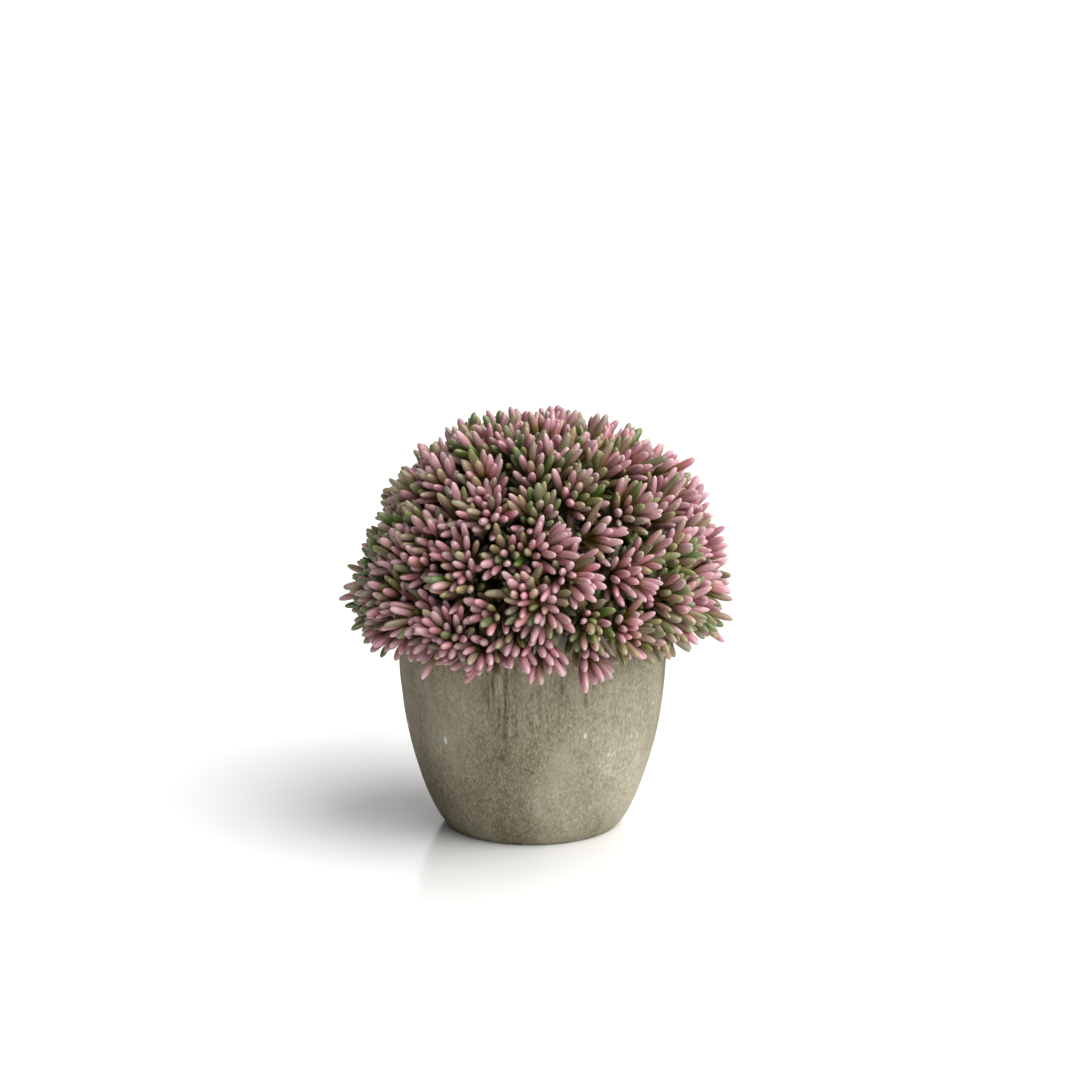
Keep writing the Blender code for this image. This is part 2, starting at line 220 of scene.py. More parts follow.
def cast_stone_finish():
    finish, tree, shader = start_finish("cast_stone")
    place = add_node(tree, "TexCoord").outputs["Object"]
    height = add_node(tree, "SeparateXYZ", {"Vector": place}).outputs["Z"]
    drawn_down = stretch(tree, place, DRAWN_DOWN)
    clouds = grain(tree, drawn_down, CLOUDS, detail=3)
    streaks = grain(tree, stretch(tree, place, STREAKS_DRAWN_DOWN), STREAKS, roughness=0.6)
    mottle = grain(tree, drawn_down, MOTTLE, detail=5, roughness=0.8)
    _, sand = cell_pattern(tree, drawn_down, SAND)

    streaked = reckon(tree, "MULTIPLY", spread(tree, height, *STREAKS_RISE),
                      spread(tree, clouds, *STREAKED_CLOUDS))
    streak_gain = reckon(tree, "MULTIPLY", streaked, STREAK_GAIN)
    tone = 0.5
    for layer, gain in (
        (clouds, CLOUD_GAIN), (mottle, MOTTLE_GAIN), (sand, SAND_GAIN), (streaks, streak_gain)
    ):
        change = reckon(tree, "MULTIPLY", reckon(tree, "SUBTRACT", layer, 0.5), gain)
        tone = reckon(tree, "ADD", tone, change)

    pale_places = spread(tree, grain(tree, drawn_down, PALE_PLACES), *PALE_EDGE)
    pale = reckon(tree, "MULTIPLY", pale_places, PALE_SHARE)
    flecks = reckon(tree, "MULTIPLY", stone_flecks(tree, place), FLECK_SHARE)
    stone = blend_colours(tree, pale, colour_ramp(tree, tone, STONE_TONES), PALE_STONE)
    relief = reckon(tree, "ADD", mottle, reckon(tree, "MULTIPLY", sand, SAND_RELIEF))
    fill_sockets(tree, shader, {
        "Base Color": blend_colours(tree, flecks, stone, FLECK_WHITE),
        "Normal": bumps(tree, relief, strength=0.5, depth=0.4 * MM),
        "Roughness": spread(tree, sand, 0.2, 0.8, 0.78, 0.95),
        "Specular IOR Level": 0.3,
    })
    return finish


cast_stone = cast_stone_finish()
print("finish made:", cast_stone.name, "with", len(cast_stone.node_tree.nodes), "nodes")

# %% [markdown]
# ## The soil's finish
# The soil is dark, dry potting mix. It could be built up like the stone, but it hardly shows
# between the stems, so one crumbly grain in three browns does.

# %% Potting soil
SOIL_BROWNS = [(0.35, paint(28, 21, 15)), (0.60, paint(58, 45, 34)), (0.75, paint(92, 76, 60))]
CRUMBS = 700  # to a metre


def soil_finish():
    finish, tree, shader = start_finish("soil")
    place = add_node(tree, "TexCoord").outputs["Object"]
    crumbs = grain(tree, place, CRUMBS, detail=4, roughness=0.7)
    fill_sockets(tree, shader, {
        "Base Color": colour_ramp(tree, crumbs, SOIL_BROWNS),
        "Normal": bumps(tree, crumbs, strength=0.8, depth=0.6 * MM),
        "Roughness": 0.95,
    })
    return finish


soil = soil_finish()
print("finish made:", soil.name)

# %% [markdown]
# ## The leaves' colours
# A leaf is olive brown where it is attached and blushes to a dusty pink over its outer half. Some
# leaves turn beige instead, some stay green, and a few are the other way round, beige below and
# green at the tip. One ramp could be tinted for all, but the colours change at different places
# along a leaf. So each kind has its own ramp, from the foot at 0 to the tip at 1. The green, beige
# and pink ramps turn paler at the very tip, partly the leaf's own colour and partly a painted
# sheen.

# %% The leaves' colours
# the last stop of this ramp and of the next two is paler: the tip's own colour with a painted sheen
GREEN_LEAF_AND_TIP_SHEEN = [
    (0.10, paint(78, 80, 32)),
    (0.45, paint(80, 97, 44)),
    (0.80, paint(88, 109, 58)),
    (0.98, paint(128, 137, 92)),
]
BEIGE_LEAF_AND_TIP_SHEEN = [
    (0.10, paint(88, 82, 32)),
    (0.42, paint(110, 104, 50)),
    (0.64, paint(144, 124, 98)),
    (0.85, paint(154, 134, 113)),
    (0.98, paint(162, 155, 116)),
]
PINK_LEAF_AND_TIP_SHEEN = [
    (0.10, paint(96, 86, 34)),
    (0.44, paint(122, 102, 52)),
    (0.60, paint(166, 122, 113)),
    (0.82, paint(195, 139, 150)),
    (0.98, paint(206, 166, 172)),
]
TURNED_LEAF = [
    (0.10, paint(118, 92, 62)),
    (0.45, paint(150, 122, 100)),
    (0.72, paint(130, 122, 80)),
    (0.96, paint(112, 121, 72)),
]
# the dark brown of the painted shade deep inside the head
PAINTED_SHADE_BROWN = paint(76, 58, 28)
LEAF_MOTTLE_TINT = paint(150, 132, 112)
ramps = (GREEN_LEAF_AND_TIP_SHEEN, BEIGE_LEAF_AND_TIP_SHEEN, PINK_LEAF_AND_TIP_SHEEN, TURNED_LEAF)
print("stops in the leaves' ramps:", [len(ramp) for ramp in ramps])

# %% [markdown]
# ## The leaves' finish
# A picture could be laid on each leaf, but there are thousands of them. Instead each leaf carries
# four numbers on its mesh: how far along it a point lies, how much the leaf blushes, how deep in
# the head the point is, and which way round the leaf it faces. The finish turns them into
# colours, and the depth darkens a leaf towards a dark brown, a painted shade for the light that
# hardly reaches inside the head. No two leaves blush quite alike, so the blush also picks each
# leaf's own draws, which make it a little lighter, duller or later to turn than the next. Fine
# lengthwise stripes keep it from looking airbrushed.

# %% Leaf and stem
BEIGE_BLUSH = (0.16, 0.34)  # between these a green leaf turns beige
PINK_BLUSH = (0.38, 0.62)  # and between these a beige one turns pink
TURNED_DRAW = (0.91, 0.92)  # a leaf that has drawn more than this is turned round
STRIPES_SHIFT = (-0.09, 0.09)  # how far the stripes move a leaf's colours along it
OWN_SHIFT = (-0.1, 0.12)  # how far the leaf's own draw moves them
SHIFT_FADES = (0.95, 0.6)  # past the first share nothing moves, and before the second all does
# painted shade: from the first depth a leaf darkens, and at the second it is darkest
SHADE_DEPTHS = (8 * MM, 26 * MM)
DEEPEST_SHADE = 0.85
MOTTLE_TINT = 0.2
OWN_VALUE, OWN_SATURATION = (0.84, 1.12), (0.82, 1.18)  # by two more draws of the leaf
OWN_DRAWS = 977  # spreads the blush so far that leaves of nearly one blush draw apart
LEAF_MOTTLE = 620  # spots to a metre
STRIPES = 2.6
STRIPES_ROUND, STRIPES_ALONG, STRIPES_APART = 2.6, 1.2, 90  # round, along, between leaves


def leaf_finish():
    finish, tree, shader = start_finish("leaf")

    def carried(name):
        return add_node(tree, "Attribute", attribute_name=name).outputs["Fac"]

    along, blush, depth, around = (carried(name) for name in ("along", "blush", "depth", "around"))
    seed = reckon(tree, "MULTIPLY", blush, OWN_DRAWS)
    own = add_node(tree, "TexWhiteNoise", {"W": seed}, noise_dimensions="1D").outputs
    own_more = add_node(tree, "SeparateColor", {"Color": own["Color"]}).outputs
    on_leaf = add_node(tree, "CombineXYZ", {
        "X": reckon(tree, "MULTIPLY", around, STRIPES_ROUND),
        "Y": reckon(tree, "MULTIPLY", along, STRIPES_ALONG),
        "Z": reckon(tree, "MULTIPLY", blush, STRIPES_APART),
    }).outputs["Vector"]
    stripes = grain(tree, on_leaf, STRIPES, detail=3, roughness=0.6)
    place = add_node(tree, "TexCoord").outputs["Object"]
    mottle = grain(tree, place, LEAF_MOTTLE, detail=3, roughness=0.6)

    shift = reckon(tree, "ADD", spread(tree, stripes, 0.25, 0.75, *STRIPES_SHIFT),
                   spread(tree, own["Value"], 0, 1, *OWN_SHIFT))
    held = reckon(tree, "MULTIPLY", shift, spread(tree, along, *SHIFT_FADES))
    shifted = reckon(tree, "ADD", along, held)
    colour = colour_ramp(tree, shifted, GREEN_LEAF_AND_TIP_SHEEN)
    for share, ramp in (
        (spread(tree, blush, *BEIGE_BLUSH), BEIGE_LEAF_AND_TIP_SHEEN),
        (spread(tree, blush, *PINK_BLUSH), PINK_LEAF_AND_TIP_SHEEN),
        (spread(tree, own["Value"], *TURNED_DRAW), TURNED_LEAF),
    ):
        colour = blend_colours(tree, share, colour, colour_ramp(tree, shifted, ramp))
    # Painted shade: deeper in the head the colour darkens towards a dark brown, for the light that
    # hardly reaches there.
    shaded = spread(tree, depth, *SHADE_DEPTHS, 0.0, DEEPEST_SHADE)
    colour = blend_colours(tree, shaded, colour, PAINTED_SHADE_BROWN)
    mottled = spread(tree, mottle, 0.3, 0.7, 0.0, MOTTLE_TINT)
    colour = blend_colours(tree, mottled, colour, LEAF_MOTTLE_TINT, "MULTIPLY")
    varied = add_node(tree, "HueSaturation", {
        "Color": colour,
        "Value": spread(tree, own_more["Green"], 0, 1, *OWN_VALUE),
        "Saturation": spread(tree, own_more["Blue"], 0, 1, *OWN_SATURATION),
    }).outputs["Color"]
    fill_sockets(tree, shader, {
        "Base Color": varied,
        "Normal": bumps(tree, stripes, strength=0.35, depth=0.25 * MM),
        "Roughness": spread(tree, mottle, 0.2, 0.8, 0.22, 0.40),
        "Subsurface Weight": 0.15,
        "Subsurface Radius": (1.0, 0.6, 0.45),
        "Subsurface Scale": 1.2 * MM,
        "Specular IOR Level": 0.5,
    })
    return finish


leaf_skin = leaf_finish()
print("finish made:", leaf_skin.name, "with", len(leaf_skin.node_tree.nodes), "nodes")

# %% [markdown]
# ## The pot
# The pot is a turned shape, so its outline is all that has to be drawn. A few rings could be
# smoothed into it, but that would round the foot and the rim too far. So the outline follows the
# solid's own curve with many more steps: a rounded foot, a wall that swells to an upright
# shoulder, and a rounded rim with no lip.

# %% The pot's outline
POT_HEIGHT = 78 * MM
POT_WALL = 4 * MM
POT_FLOOR = 5 * MM
BASE_RADIUS = 28.5 * MM
FOOT_CONTROL = (31.2 * MM, 0.5 * MM)  # radius and height
FOOT_TOP = 10.5 * MM
WALL_START_RADIUS = 31 * MM
WALL_FLARE = 14.6 * MM
WALL_SHOULDER = 66 * MM
WALL_POWER = 2.2
FOOT_STEPS, WALL_STEPS, RIM_STEPS = 12, 60, 14
INSIDE_EVERY = 4  # the inside takes only every fourth of the wall's heights


def wall_radius(height):
    """The pot's outer radius at a height. Its foot is a curve with one control point."""
    if height < FOOT_TOP:
        squared = FOOT_TOP - 2 * FOOT_CONTROL[1]
        plain = 2 * FOOT_CONTROL[1]
        share = (-plain + math.sqrt(plain**2 + 4 * squared * height)) / (2 * squared)
        start, middle, end = BASE_RADIUS, FOOT_CONTROL[0], wall_radius(FOOT_TOP)
        return start * (1 - share) ** 2 + 2 * middle * share * (1 - share) + end * share**2
    rise = min(height / WALL_SHOULDER, 1)
    return WALL_START_RADIUS + WALL_FLARE * (1 - (1 - rise) ** WALL_POWER)


def pot_outline():
    """From the underside's middle, up the wall, over the rim and down to the floor's middle."""
    lip = POT_WALL / 2
    foot = [FOOT_TOP * (step / FOOT_STEPS) ** 2 for step in range(1, FOOT_STEPS)]
    walls = np.linspace(FOOT_TOP, POT_HEIGHT - lip, WALL_STEPS)
    outline = [(0, 0), (BASE_RADIUS * 0.5, 0), (BASE_RADIUS, 0)]
    outline += [(wall_radius(height), height) for height in [*foot, *walls]]
    middle = wall_radius(POT_HEIGHT) - lip
    for turn in np.linspace(0, math.pi, RIM_STEPS)[1:-1]:
        outline.append((middle + lip * math.cos(turn), POT_HEIGHT - lip + lip * math.sin(turn)))
    outline += [(wall_radius(height) - POT_WALL, height) for height in walls[::-INSIDE_EVERY]]
    outline += [(wall_radius(POT_FLOOR) - POT_WALL, POT_FLOOR), (0, POT_FLOOR)]
    return outline


print("pot outline points:", len(pot_outline()))

# %% [markdown]
# ## Turning a shape and adding it
# The outline could be turned by a modifier. It is done by hand here, because that shows what
# turning is: rings of points about the upright axis, joined by faces. Each piece then gets its
# finish and is attached to the body it rides on, and the plain solid that it stands for is hidden.


# %% Turning a shape and adding it
def ring_turns(sides):
    """The angles of the corners of a ring."""
    return [2 * math.pi * side / sides for side in range(sides)]


def turned(name, outline, sides):
    """A closed shape turned from an outline that starts and ends on the axis."""
    points, faces, rings = [], [], []
    for radius, height in outline:
        if radius == 0:
            rings.append([len(points)] * sides)
            points.append((0, 0, height))
            continue
        rings.append(list(range(len(points), len(points) + sides)))
        ring = [(radius * math.cos(turn), radius * math.sin(turn)) for turn in ring_turns(sides)]
        points += [(x, y, height) for x, y in ring]
    for low, high in zip(rings, rings[1:]):
        for side in range(sides):
            after = (side + 1) % sides
            corners = [low[side], low[after], high[after], high[side]]
            faces.append(list(dict.fromkeys(corners)))
    mesh = bpy.data.meshes.new(name)
    mesh.from_pydata(points, [], faces)
    mesh.shade_smooth()
    return mesh


def put_in_scene(name, data):
    made = bpy.data.objects.new(name, data)
    bpy.context.scene.collection.objects.link(made)
    return made


def add_piece(name, mesh, finish, nodes):
    mesh.materials.clear()
    mesh.materials.append(finish)
    piece = put_in_scene(name, mesh)
    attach(piece, "root")
    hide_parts(*nodes)
    return piece


def triangles(mesh):
    return sum(len(face.vertices) - 2 for face in mesh.polygons)


print("corners of a ring of eight, degrees:", [round(math.degrees(turn)) for turn in ring_turns(8)])

# %% [markdown]
# ## The stone pot
# A cast wall is never quite even. It could be dented by hand, but a soft noise does it as well:
# each point of the outer wall sinks in a little, and never out past the solid. The underside
# stays flat, so that the pot stands.

# %% The stone pot
POT_SIDES = 192
WALL_UNEVEN = 0.22 * MM
FLAT_BELOW = 0.3 * MM
BROAD_DENTS, SMALL_DENTS = 55, 170  # to a metre
BROAD_SHARE, SMALL_SHARE = 0.5, 0.35


def sink_unevenly(mesh, depth):
    for vertex in mesh.vertices:
        x, y, z = vertex.co
        wide = math.hypot(x, y)
        if z < FLAT_BELOW or wide < wall_radius(min(z, POT_HEIGHT)) - POT_WALL / 2:
            continue
        broad, small = noise.noise(vertex.co * BROAD_DENTS), noise.noise(vertex.co * SMALL_DENTS)
        sunk = depth * min(max(broad * BROAD_SHARE + small * SMALL_SHARE + 0.5, 0), 1)
        vertex.co.x -= x / wide * sunk
        vertex.co.y -= y / wide * sunk


pot_mesh = turned("stone_pot", pot_outline(), POT_SIDES)
sink_unevenly(pot_mesh, WALL_UNEVEN)
stone_pot = add_piece("stone_pot", pot_mesh, cast_stone, ["pot"])
print("pot triangles:", triangles(pot_mesh))

# %% [markdown]
# ## The soil
# The soil fills the pot to a centimetre below the rim. It could be a heap of separate grains, but
# it lies in the dark under the leaves. So it is turned like the pot, with its sides just inside
# the pot's, and a rough noise lowers its top into crumbs.

# %% Crumbly soil
SOIL_BELOW_RIM = 10 * MM
SOIL_TOP = POT_HEIGHT - SOIL_BELOW_RIM
SOIL_GAP = 0.3 * MM
SOIL_SIDES, SOIL_WALL_STEPS, SOIL_TOP_STEPS = 128, 12, 40
CRUMB = 1.1 * MM
SMALL_CRUMBS, BROAD_CRUMBS = 520, 210  # to a metre
CRUMBLY_FROM = SOIL_TOP - 0.1 * MM


def soil_radius(height):
    """Leaves the solid's gap to the pot, and as much again to stay inside the solid itself."""
    return wall_radius(height) - (POT_WALL + SOIL_GAP) - SOIL_GAP


def soil_outline():
    bottom, edge = POT_FLOOR + SOIL_GAP, soil_radius(SOIL_TOP)
    heights = np.linspace(bottom, SOIL_TOP, SOIL_WALL_STEPS)
    shares = np.linspace(1, 0, SOIL_TOP_STEPS)[1:]
    outline = [(0, bottom)]
    outline += [(soil_radius(height), height) for height in heights]
    outline += [(edge * share, SOIL_TOP) for share in shares]
    return outline


soil_mesh = turned("crumbly_soil", soil_outline(), SOIL_SIDES)
for vertex in soil_mesh.vertices:
    if vertex.co.z > CRUMBLY_FROM:
        small, broad = noise.noise(vertex.co * SMALL_CRUMBS), noise.noise(vertex.co * BROAD_CRUMBS)
        vertex.co.z -= CRUMB * (0.5 + 0.5 * small) + CRUMB * abs(broad)
crumbly_soil = add_piece("crumbly_soil", soil_mesh, soil, ["potting_soil"])
print("soil triangles:", triangles(soil_mesh))

# %% [markdown]
# ## The head
# The head is a ball of leaf tips round the middle of the pot's rim. Just below the rim it turns
# in to a skirt of leaves that hang over the pot. Everything that grows needs to know where that
# surface is, and a formula answers quicker and more evenly than a mesh would: a point on the head
# is found from the way that the surface faces there.

# %% The head's surface
TIPS_RADIUS = 68 * MM
SKIRT_START = math.radians(-5)
SKIRT_RADIUS = 17 * MM
SKIRT_INSET = TIPS_RADIUS - SKIRT_RADIUS
HEAD_CENTRE = Vector((0, 0, POT_HEIGHT))
HANGING_TUFT = math.radians(-55)


def facing(elevation, azimuth):
    level = math.cos(elevation)
    return Vector((level * math.cos(azimuth), level * math.sin(azimuth), math.sin(elevation)))


def on_head(elevation, azimuth, depth=0.0):
    """The point under the head's surface, at a depth, where that surface faces this way."""
    out = facing(elevation, azimuth)
    if elevation >= SKIRT_START:
        return HEAD_CENTRE + out * (TIPS_RADIUS - depth)
    return HEAD_CENTRE + facing(SKIRT_START, azimuth) * SKIRT_INSET + out * (SKIRT_RADIUS - depth)


def head_faces(point):
    """The elevation and azimuth that the head's surface faces where it is nearest to a point."""
    x, y, z = point - HEAD_CENTRE
    azimuth = math.atan2(y, x)
    elevation = math.atan2(z, math.hypot(x, y))
    if elevation < SKIRT_START:
        x, y, z = point - HEAD_CENTRE - facing(SKIRT_START, azimuth) * SKIRT_INSET
        elevation = math.atan2(z, x * math.cos(azimuth) + y * math.sin(azimuth))
    return elevation, azimuth


print("head's lowest hanging point, mm:", round(on_head(HANGING_TUFT, 0).z / MM, 1))

# %% [markdown]
# ## Where the tufts grow
# The plant is 42 forked stems, and each ends in three tufts of leaves. They could be placed by
# hand, but the solid model spreads them by a rule: a golden spiral over the head, and then tufts
# that stand too close push each other apart. The same rule is followed here, so that each fine
# tuft grows where its plain one stood.

# %% Stems and tufts, by the rule
STEMS = 42
BRANCHES = 3
GOLDEN = (math.sqrt(5) - 1) / 2
GOLDEN_TURN = 2 * math.pi * GOLDEN
LOWEST_STEM = math.radians(-14)
LOWEST_SPREAD = math.radians(2)  # a tuft pushed below this becomes a hanging one
LEAF_LENGTH = 13.5 * MM  # in the solid model
FORK_SPREAD = 9 * MM
PUSH_REACH = 20 * MM
PUSH = 0.08
PUSH_ROUNDS = 60


def stem_ways():
    for index in range(STEMS):
        height = 1 - (1 - math.sin(LOWEST_STEM)) * (index + 0.5) / STEMS
        yield math.asin(height), GOLDEN_TURN * index


def spread_tufts():
    tufts = []
    for index, (elevation, azimuth) in enumerate(stem_ways()):
        east = Vector((-math.sin(azimuth), math.cos(azimuth), 0))
        north = facing(elevation, azimuth).cross(east)
        for branch in range(BRANCHES):
            turn = 2 * math.pi * (branch / BRANCHES + index * GOLDEN)
            aside = (east * math.cos(turn) + north * math.sin(turn)) * FORK_SPREAD
            tufts.append(head_faces(on_head(elevation, azimuth, LEAF_LENGTH) + aside))
    for _ in range(PUSH_ROUNDS):
        places = [on_head(*tuft, LEAF_LENGTH) for tuft in tufts]
        for index, place in enumerate(places):
            push = Vector()
            for other in places:
                apart = (place - other).length
                if 0 < apart < PUSH_REACH:
                    push += (place - other) * (PUSH_REACH / apart - 1) * PUSH
            elevation, azimuth = head_faces(place + push)
            tufts[index] = (elevation if elevation > LOWEST_SPREAD else HANGING_TUFT, azimuth)
    return [tufts[first : first + BRANCHES] for first in range(0, len(tufts), BRANCHES)]


stem_tufts = spread_tufts()
print("tufts:", sum(len(group) for group in stem_tufts))

# %% [markdown]
# ## The stems' routes
# Each stem leaves the soil, rises and forks inside the head, and the lowest ones lean out over
# the rim. Each could keep its first three tufts, but the pushing has moved those about, and
# branches would cross. So stems swap tufts as long as that makes their branches shorter.

# %% Routes from the soil to the tufts
ROOT_DEPTH = 12 * MM
ROOTS_RADIUS = 34 * MM
FORK_RADIUS = 38 * MM
LOW_FORK_RADIUS = 45 * MM
LOW_FORK_ELEVATION = math.radians(12)
HIGH_FORK_ELEVATION = math.radians(40)
SOLID_BUD_LENGTH = 7.8 * MM
SWAP_GAIN = 0.3 * MM


def stem_route(index, elevation, azimuth):
    """A stem's lowest point in the soil, the point where it leaves the soil, and its fork."""
    root = facing(0, azimuth) * ROOTS_RADIUS * math.sqrt((index + 0.5) / STEMS)
    root.z = SOIL_TOP
    climb = min((elevation - LOWEST_STEM) / (HIGH_FORK_ELEVATION - LOWEST_STEM), 1)
    fork_elevation = LOW_FORK_ELEVATION + (HIGH_FORK_ELEVATION - LOW_FORK_ELEVATION) * climb
    fork_radius = LOW_FORK_RADIUS + (FORK_RADIUS - LOW_FORK_RADIUS) * climb
    fork = HEAD_CENTRE + facing(max(elevation, fork_elevation), azimuth) * fork_radius
    return [root - Vector((0, 0, ROOT_DEPTH)), root, fork]


def solid_bud(tuft):
    return on_head(*tuft, LEAF_LENGTH) - facing(*tuft) * SOLID_BUD_LENGTH


def swap_tufts(routes, groups):
    branches = range(BRANCHES)
    pairs = [(one, two, mine, theirs) for one in range(STEMS) for two in range(one + 1, STEMS)
             for mine in branches for theirs in branches]
    swapped = True
    while swapped:
        swapped = False
        for one, two, mine, theirs in pairs:
            first, second = solid_bud(groups[one][mine]), solid_bud(groups[two][theirs])
            here, there = routes[one][2], routes[two][2]
            now = (first - here).length + (second - there).length
            if (first - there).length + (second - here).length < now - SWAP_GAIN:
                groups[one][mine], groups[two][theirs] = groups[two][theirs], groups[one][mine]
                swapped = True


routes = [stem_route(index, *way) for index, way in enumerate(stem_ways())]
swap_tufts(routes, stem_tufts)
stem_lengths = [(fork - surface).length for _, surface, fork in routes]
print("stem lengths, mm:", round(min(stem_lengths) / MM), "to", round(max(stem_lengths) / MM))

# %% [markdown]
# ## The head isn't a perfect ball
# The real plant leans: its left shoulder is flatter than its right, the right one bulges a
# little, and low on the left the skirt hangs closer to the pot. Scaling the finished plant would
# bend its leaves out of shape. So only the places where leaves grow are moved, by a share that
# depends on the way they lie from the head's middle.

# %% Shoulders
LEFT_HEIGHTS = (-30, -8, 0, 5, 13, 25, 38, 52, 90)  # degrees above the rim
LEFT_FLATTER = (0.06, 0.08, 0.01, 0.05, 0.10, 0.08, 0.07, 0.055, 0.03)
RIGHT_HEIGHTS = (0, 12, 34, 55, 80)
RIGHT_FULLER = (0.0, 0.002, 0.042, 0.025, 0.0)
TOP_HEIGHTS = (55, 80)
TOP_LOWER = 0.02
SIDE_GAIN = 1.4  # a side counts in full from where x is 1 / 1.4 of the way


def reach(offset):
    """How far the plant reaches one way from the head's middle, as a share of the plain ball."""
    way = offset.normalized()
    height = math.degrees(math.asin(way.z))
    flatter = np.interp(height, LEFT_HEIGHTS, LEFT_FLATTER) * min(max(-way.x, 0) * SIDE_GAIN, 1)
    fuller = np.interp(height, RIGHT_HEIGHTS, RIGHT_FULLER) * min(max(way.x, 0) * SIDE_GAIN, 1)
    return float(1 - flatter + fuller - TOP_LOWER * np.interp(height, TOP_HEIGHTS, (0, 1)))


def settle_in(point):
    """Moves a point of the plain ball to its place in the leaning head."""
    offset = point - HEAD_CENTRE
    return HEAD_CENTRE + offset * reach(offset)


def head_depth(point):
    """How far a point lies under the surface of the leaning head."""
    offset = point - HEAD_CENTRE
    point = HEAD_CENTRE + offset / reach(offset)
    elevation, azimuth = head_faces(point)
    if elevation >= SKIRT_START:
        return TIPS_RADIUS - (point - HEAD_CENTRE).length
    middle = HEAD_CENTRE + facing(SKIRT_START, azimuth) * SKIRT_INSET
    return SKIRT_RADIUS - (point - middle).length


for side, x in (("left:", -1), ("right:", 1)):
    print("reach on the", side, round(reach(Vector((x, 0, 0.5))), 3))

# %% [markdown]
# ## Buds
# Each tuft sits on a short bud at the end of its branch. Buds that all pointed straight out would
# make a neat pattern. So each is turned, shifted and set a little deeper or higher by numbers
# that it draws. Those that hang over the rim face out and down, and are lifted by different
# amounts.

# %% Tufts with their buds
SEED = 11
BUD_DEPTH = 9.8 * MM
DEPTH_VARIES = 2.0 * MM
BUD_LENGTH = 8.5 * MM
TIPPED_BY, SWUNG_BY = 12, 14  # degrees up or down, and sideways, of an average tuft
TUFT_SHIFT = 1.7 * MM
TONE_VARIES = 0.12
HANGING_FACE = math.radians(-34)
HANGING_DEEPER = 2 * MM
HANGING_LIFT = 3.4 * MM
HANGING_LIFT_VARIES = 3.4 * MM
HANGING_SWING = 1 / 4  # how much of its swing also moves a hanging tuft round the rim
draw = np.random.default_rng(SEED)


class Tuft:
    """A tuft's bud: the way it faces, its start and end, and how pink its leaves tend to be."""

    def __init__(self, elevation, azimuth):
        tipped = math.radians(draw.normal(0, TIPPED_BY))
        swing = math.radians(draw.normal(0, SWUNG_BY))
        deeper = draw.uniform(-1, 1) * DEPTH_VARIES
        lift = HANGING_LIFT + draw.uniform(-1, 1) * HANGING_LIFT_VARIES
        self.hanging = elevation < SKIRT_START
        if self.hanging:
            azimuth += swing * HANGING_SWING
            elevation = HANGING_FACE
            place = on_head(elevation, azimuth, BUD_DEPTH + HANGING_DEEPER) + Vector((0, 0, lift))
        else:
            place = on_head(elevation, azimuth, BUD_DEPTH + deeper)
        self.out = facing(elevation + tipped, azimuth + swing)
        aside = Vector(draw.normal(0, TUFT_SHIFT, 3))
        self.end = settle_in(place) + (aside - self.out * aside.dot(self.out))
        self.start = self.end - self.out * BUD_LENGTH
        self.tone = draw.normal(0, TONE_VARIES)


tufts = [[Tuft(*place) for place in group] for group in stem_tufts]
print("hanging tufts:", sum(tuft.hanging for group in tufts for tuft in group))

# %% [markdown]
# ## Pushing apart
# Things that grow close together make room for each other. Each could be checked against all
# others, but with thousands of points that takes minutes. So the points are sorted into a tree
# that finds the near ones quickly, and each is pushed away from those.


# %% Pushing apart
def push_apart(points, owners, rooms, strength):
    """How far each point is pushed by the points of other owners that stand in its room."""
    tree = KDTree(len(points))
    for index, point in enumerate(points):
        tree.insert(point, index)
    tree.balance()
    pushes = np.zeros_like(points)
    for index, point in enumerate(points):
        for other, where, apart in tree.find_range(point, rooms[index]):
            room = (rooms[index] + rooms[where]) / 2
            if owners[index] != owners[where] and 0 < apart < room:
                pushes[index] += (point - np.array(other)) * (room / apart - 1) * strength
    return pushes


pair = np.array([[0.0, 0.0, 0.0], [1.0, 0.0, 0.0]])
moves = push_apart(pair, owners=[0, 1], rooms=[2.0, 2.0], strength=0.5)
print("two points 1 m apart that want 2 m between them move by:", moves[:, 0])

# %% [markdown]
# ## Where the tips lie
# Seen from outside, the tips lie about evenly over the whole head, and the tufts hardly show as
# rosettes. Leaves laid out tuft by tuft would show them, with gaps between. So the tips come
# first: points are scattered over the head and pushed apart. The skirt's lower edge is ragged,
# because a slow noise says how far down it hangs. Most tips then sink in a little, and one in
# seven strays outwards.

# %% Scattering the tips
TIPS_ON_BALL = 1800
TIPS_ON_SKIRT = 210
SKIRT_END = math.radians(-56)
SKIRT_HANGS = 0.67  # of the way down, on average
SKIRT_LEAST = 0.15  # of the way down, where it hangs least
SKIRT_RAGGED = 0.9  # how much its edge goes up and down
SKIRT_WAVES = 5.2  # and how fast, on the way round the rim
TIP_ROOM = 5.2 * MM
TIP_ROUNDS = 5
TIP_PUSH = 0.12
TIPS_DEEPEST = 6.0 * MM
MOSTLY_SHALLOW = 1.5  # a power above 1 makes small depths likelier than large ones
STRAY_SHARE = 0.15
STRAY_FURTHEST = 3.6 * MM


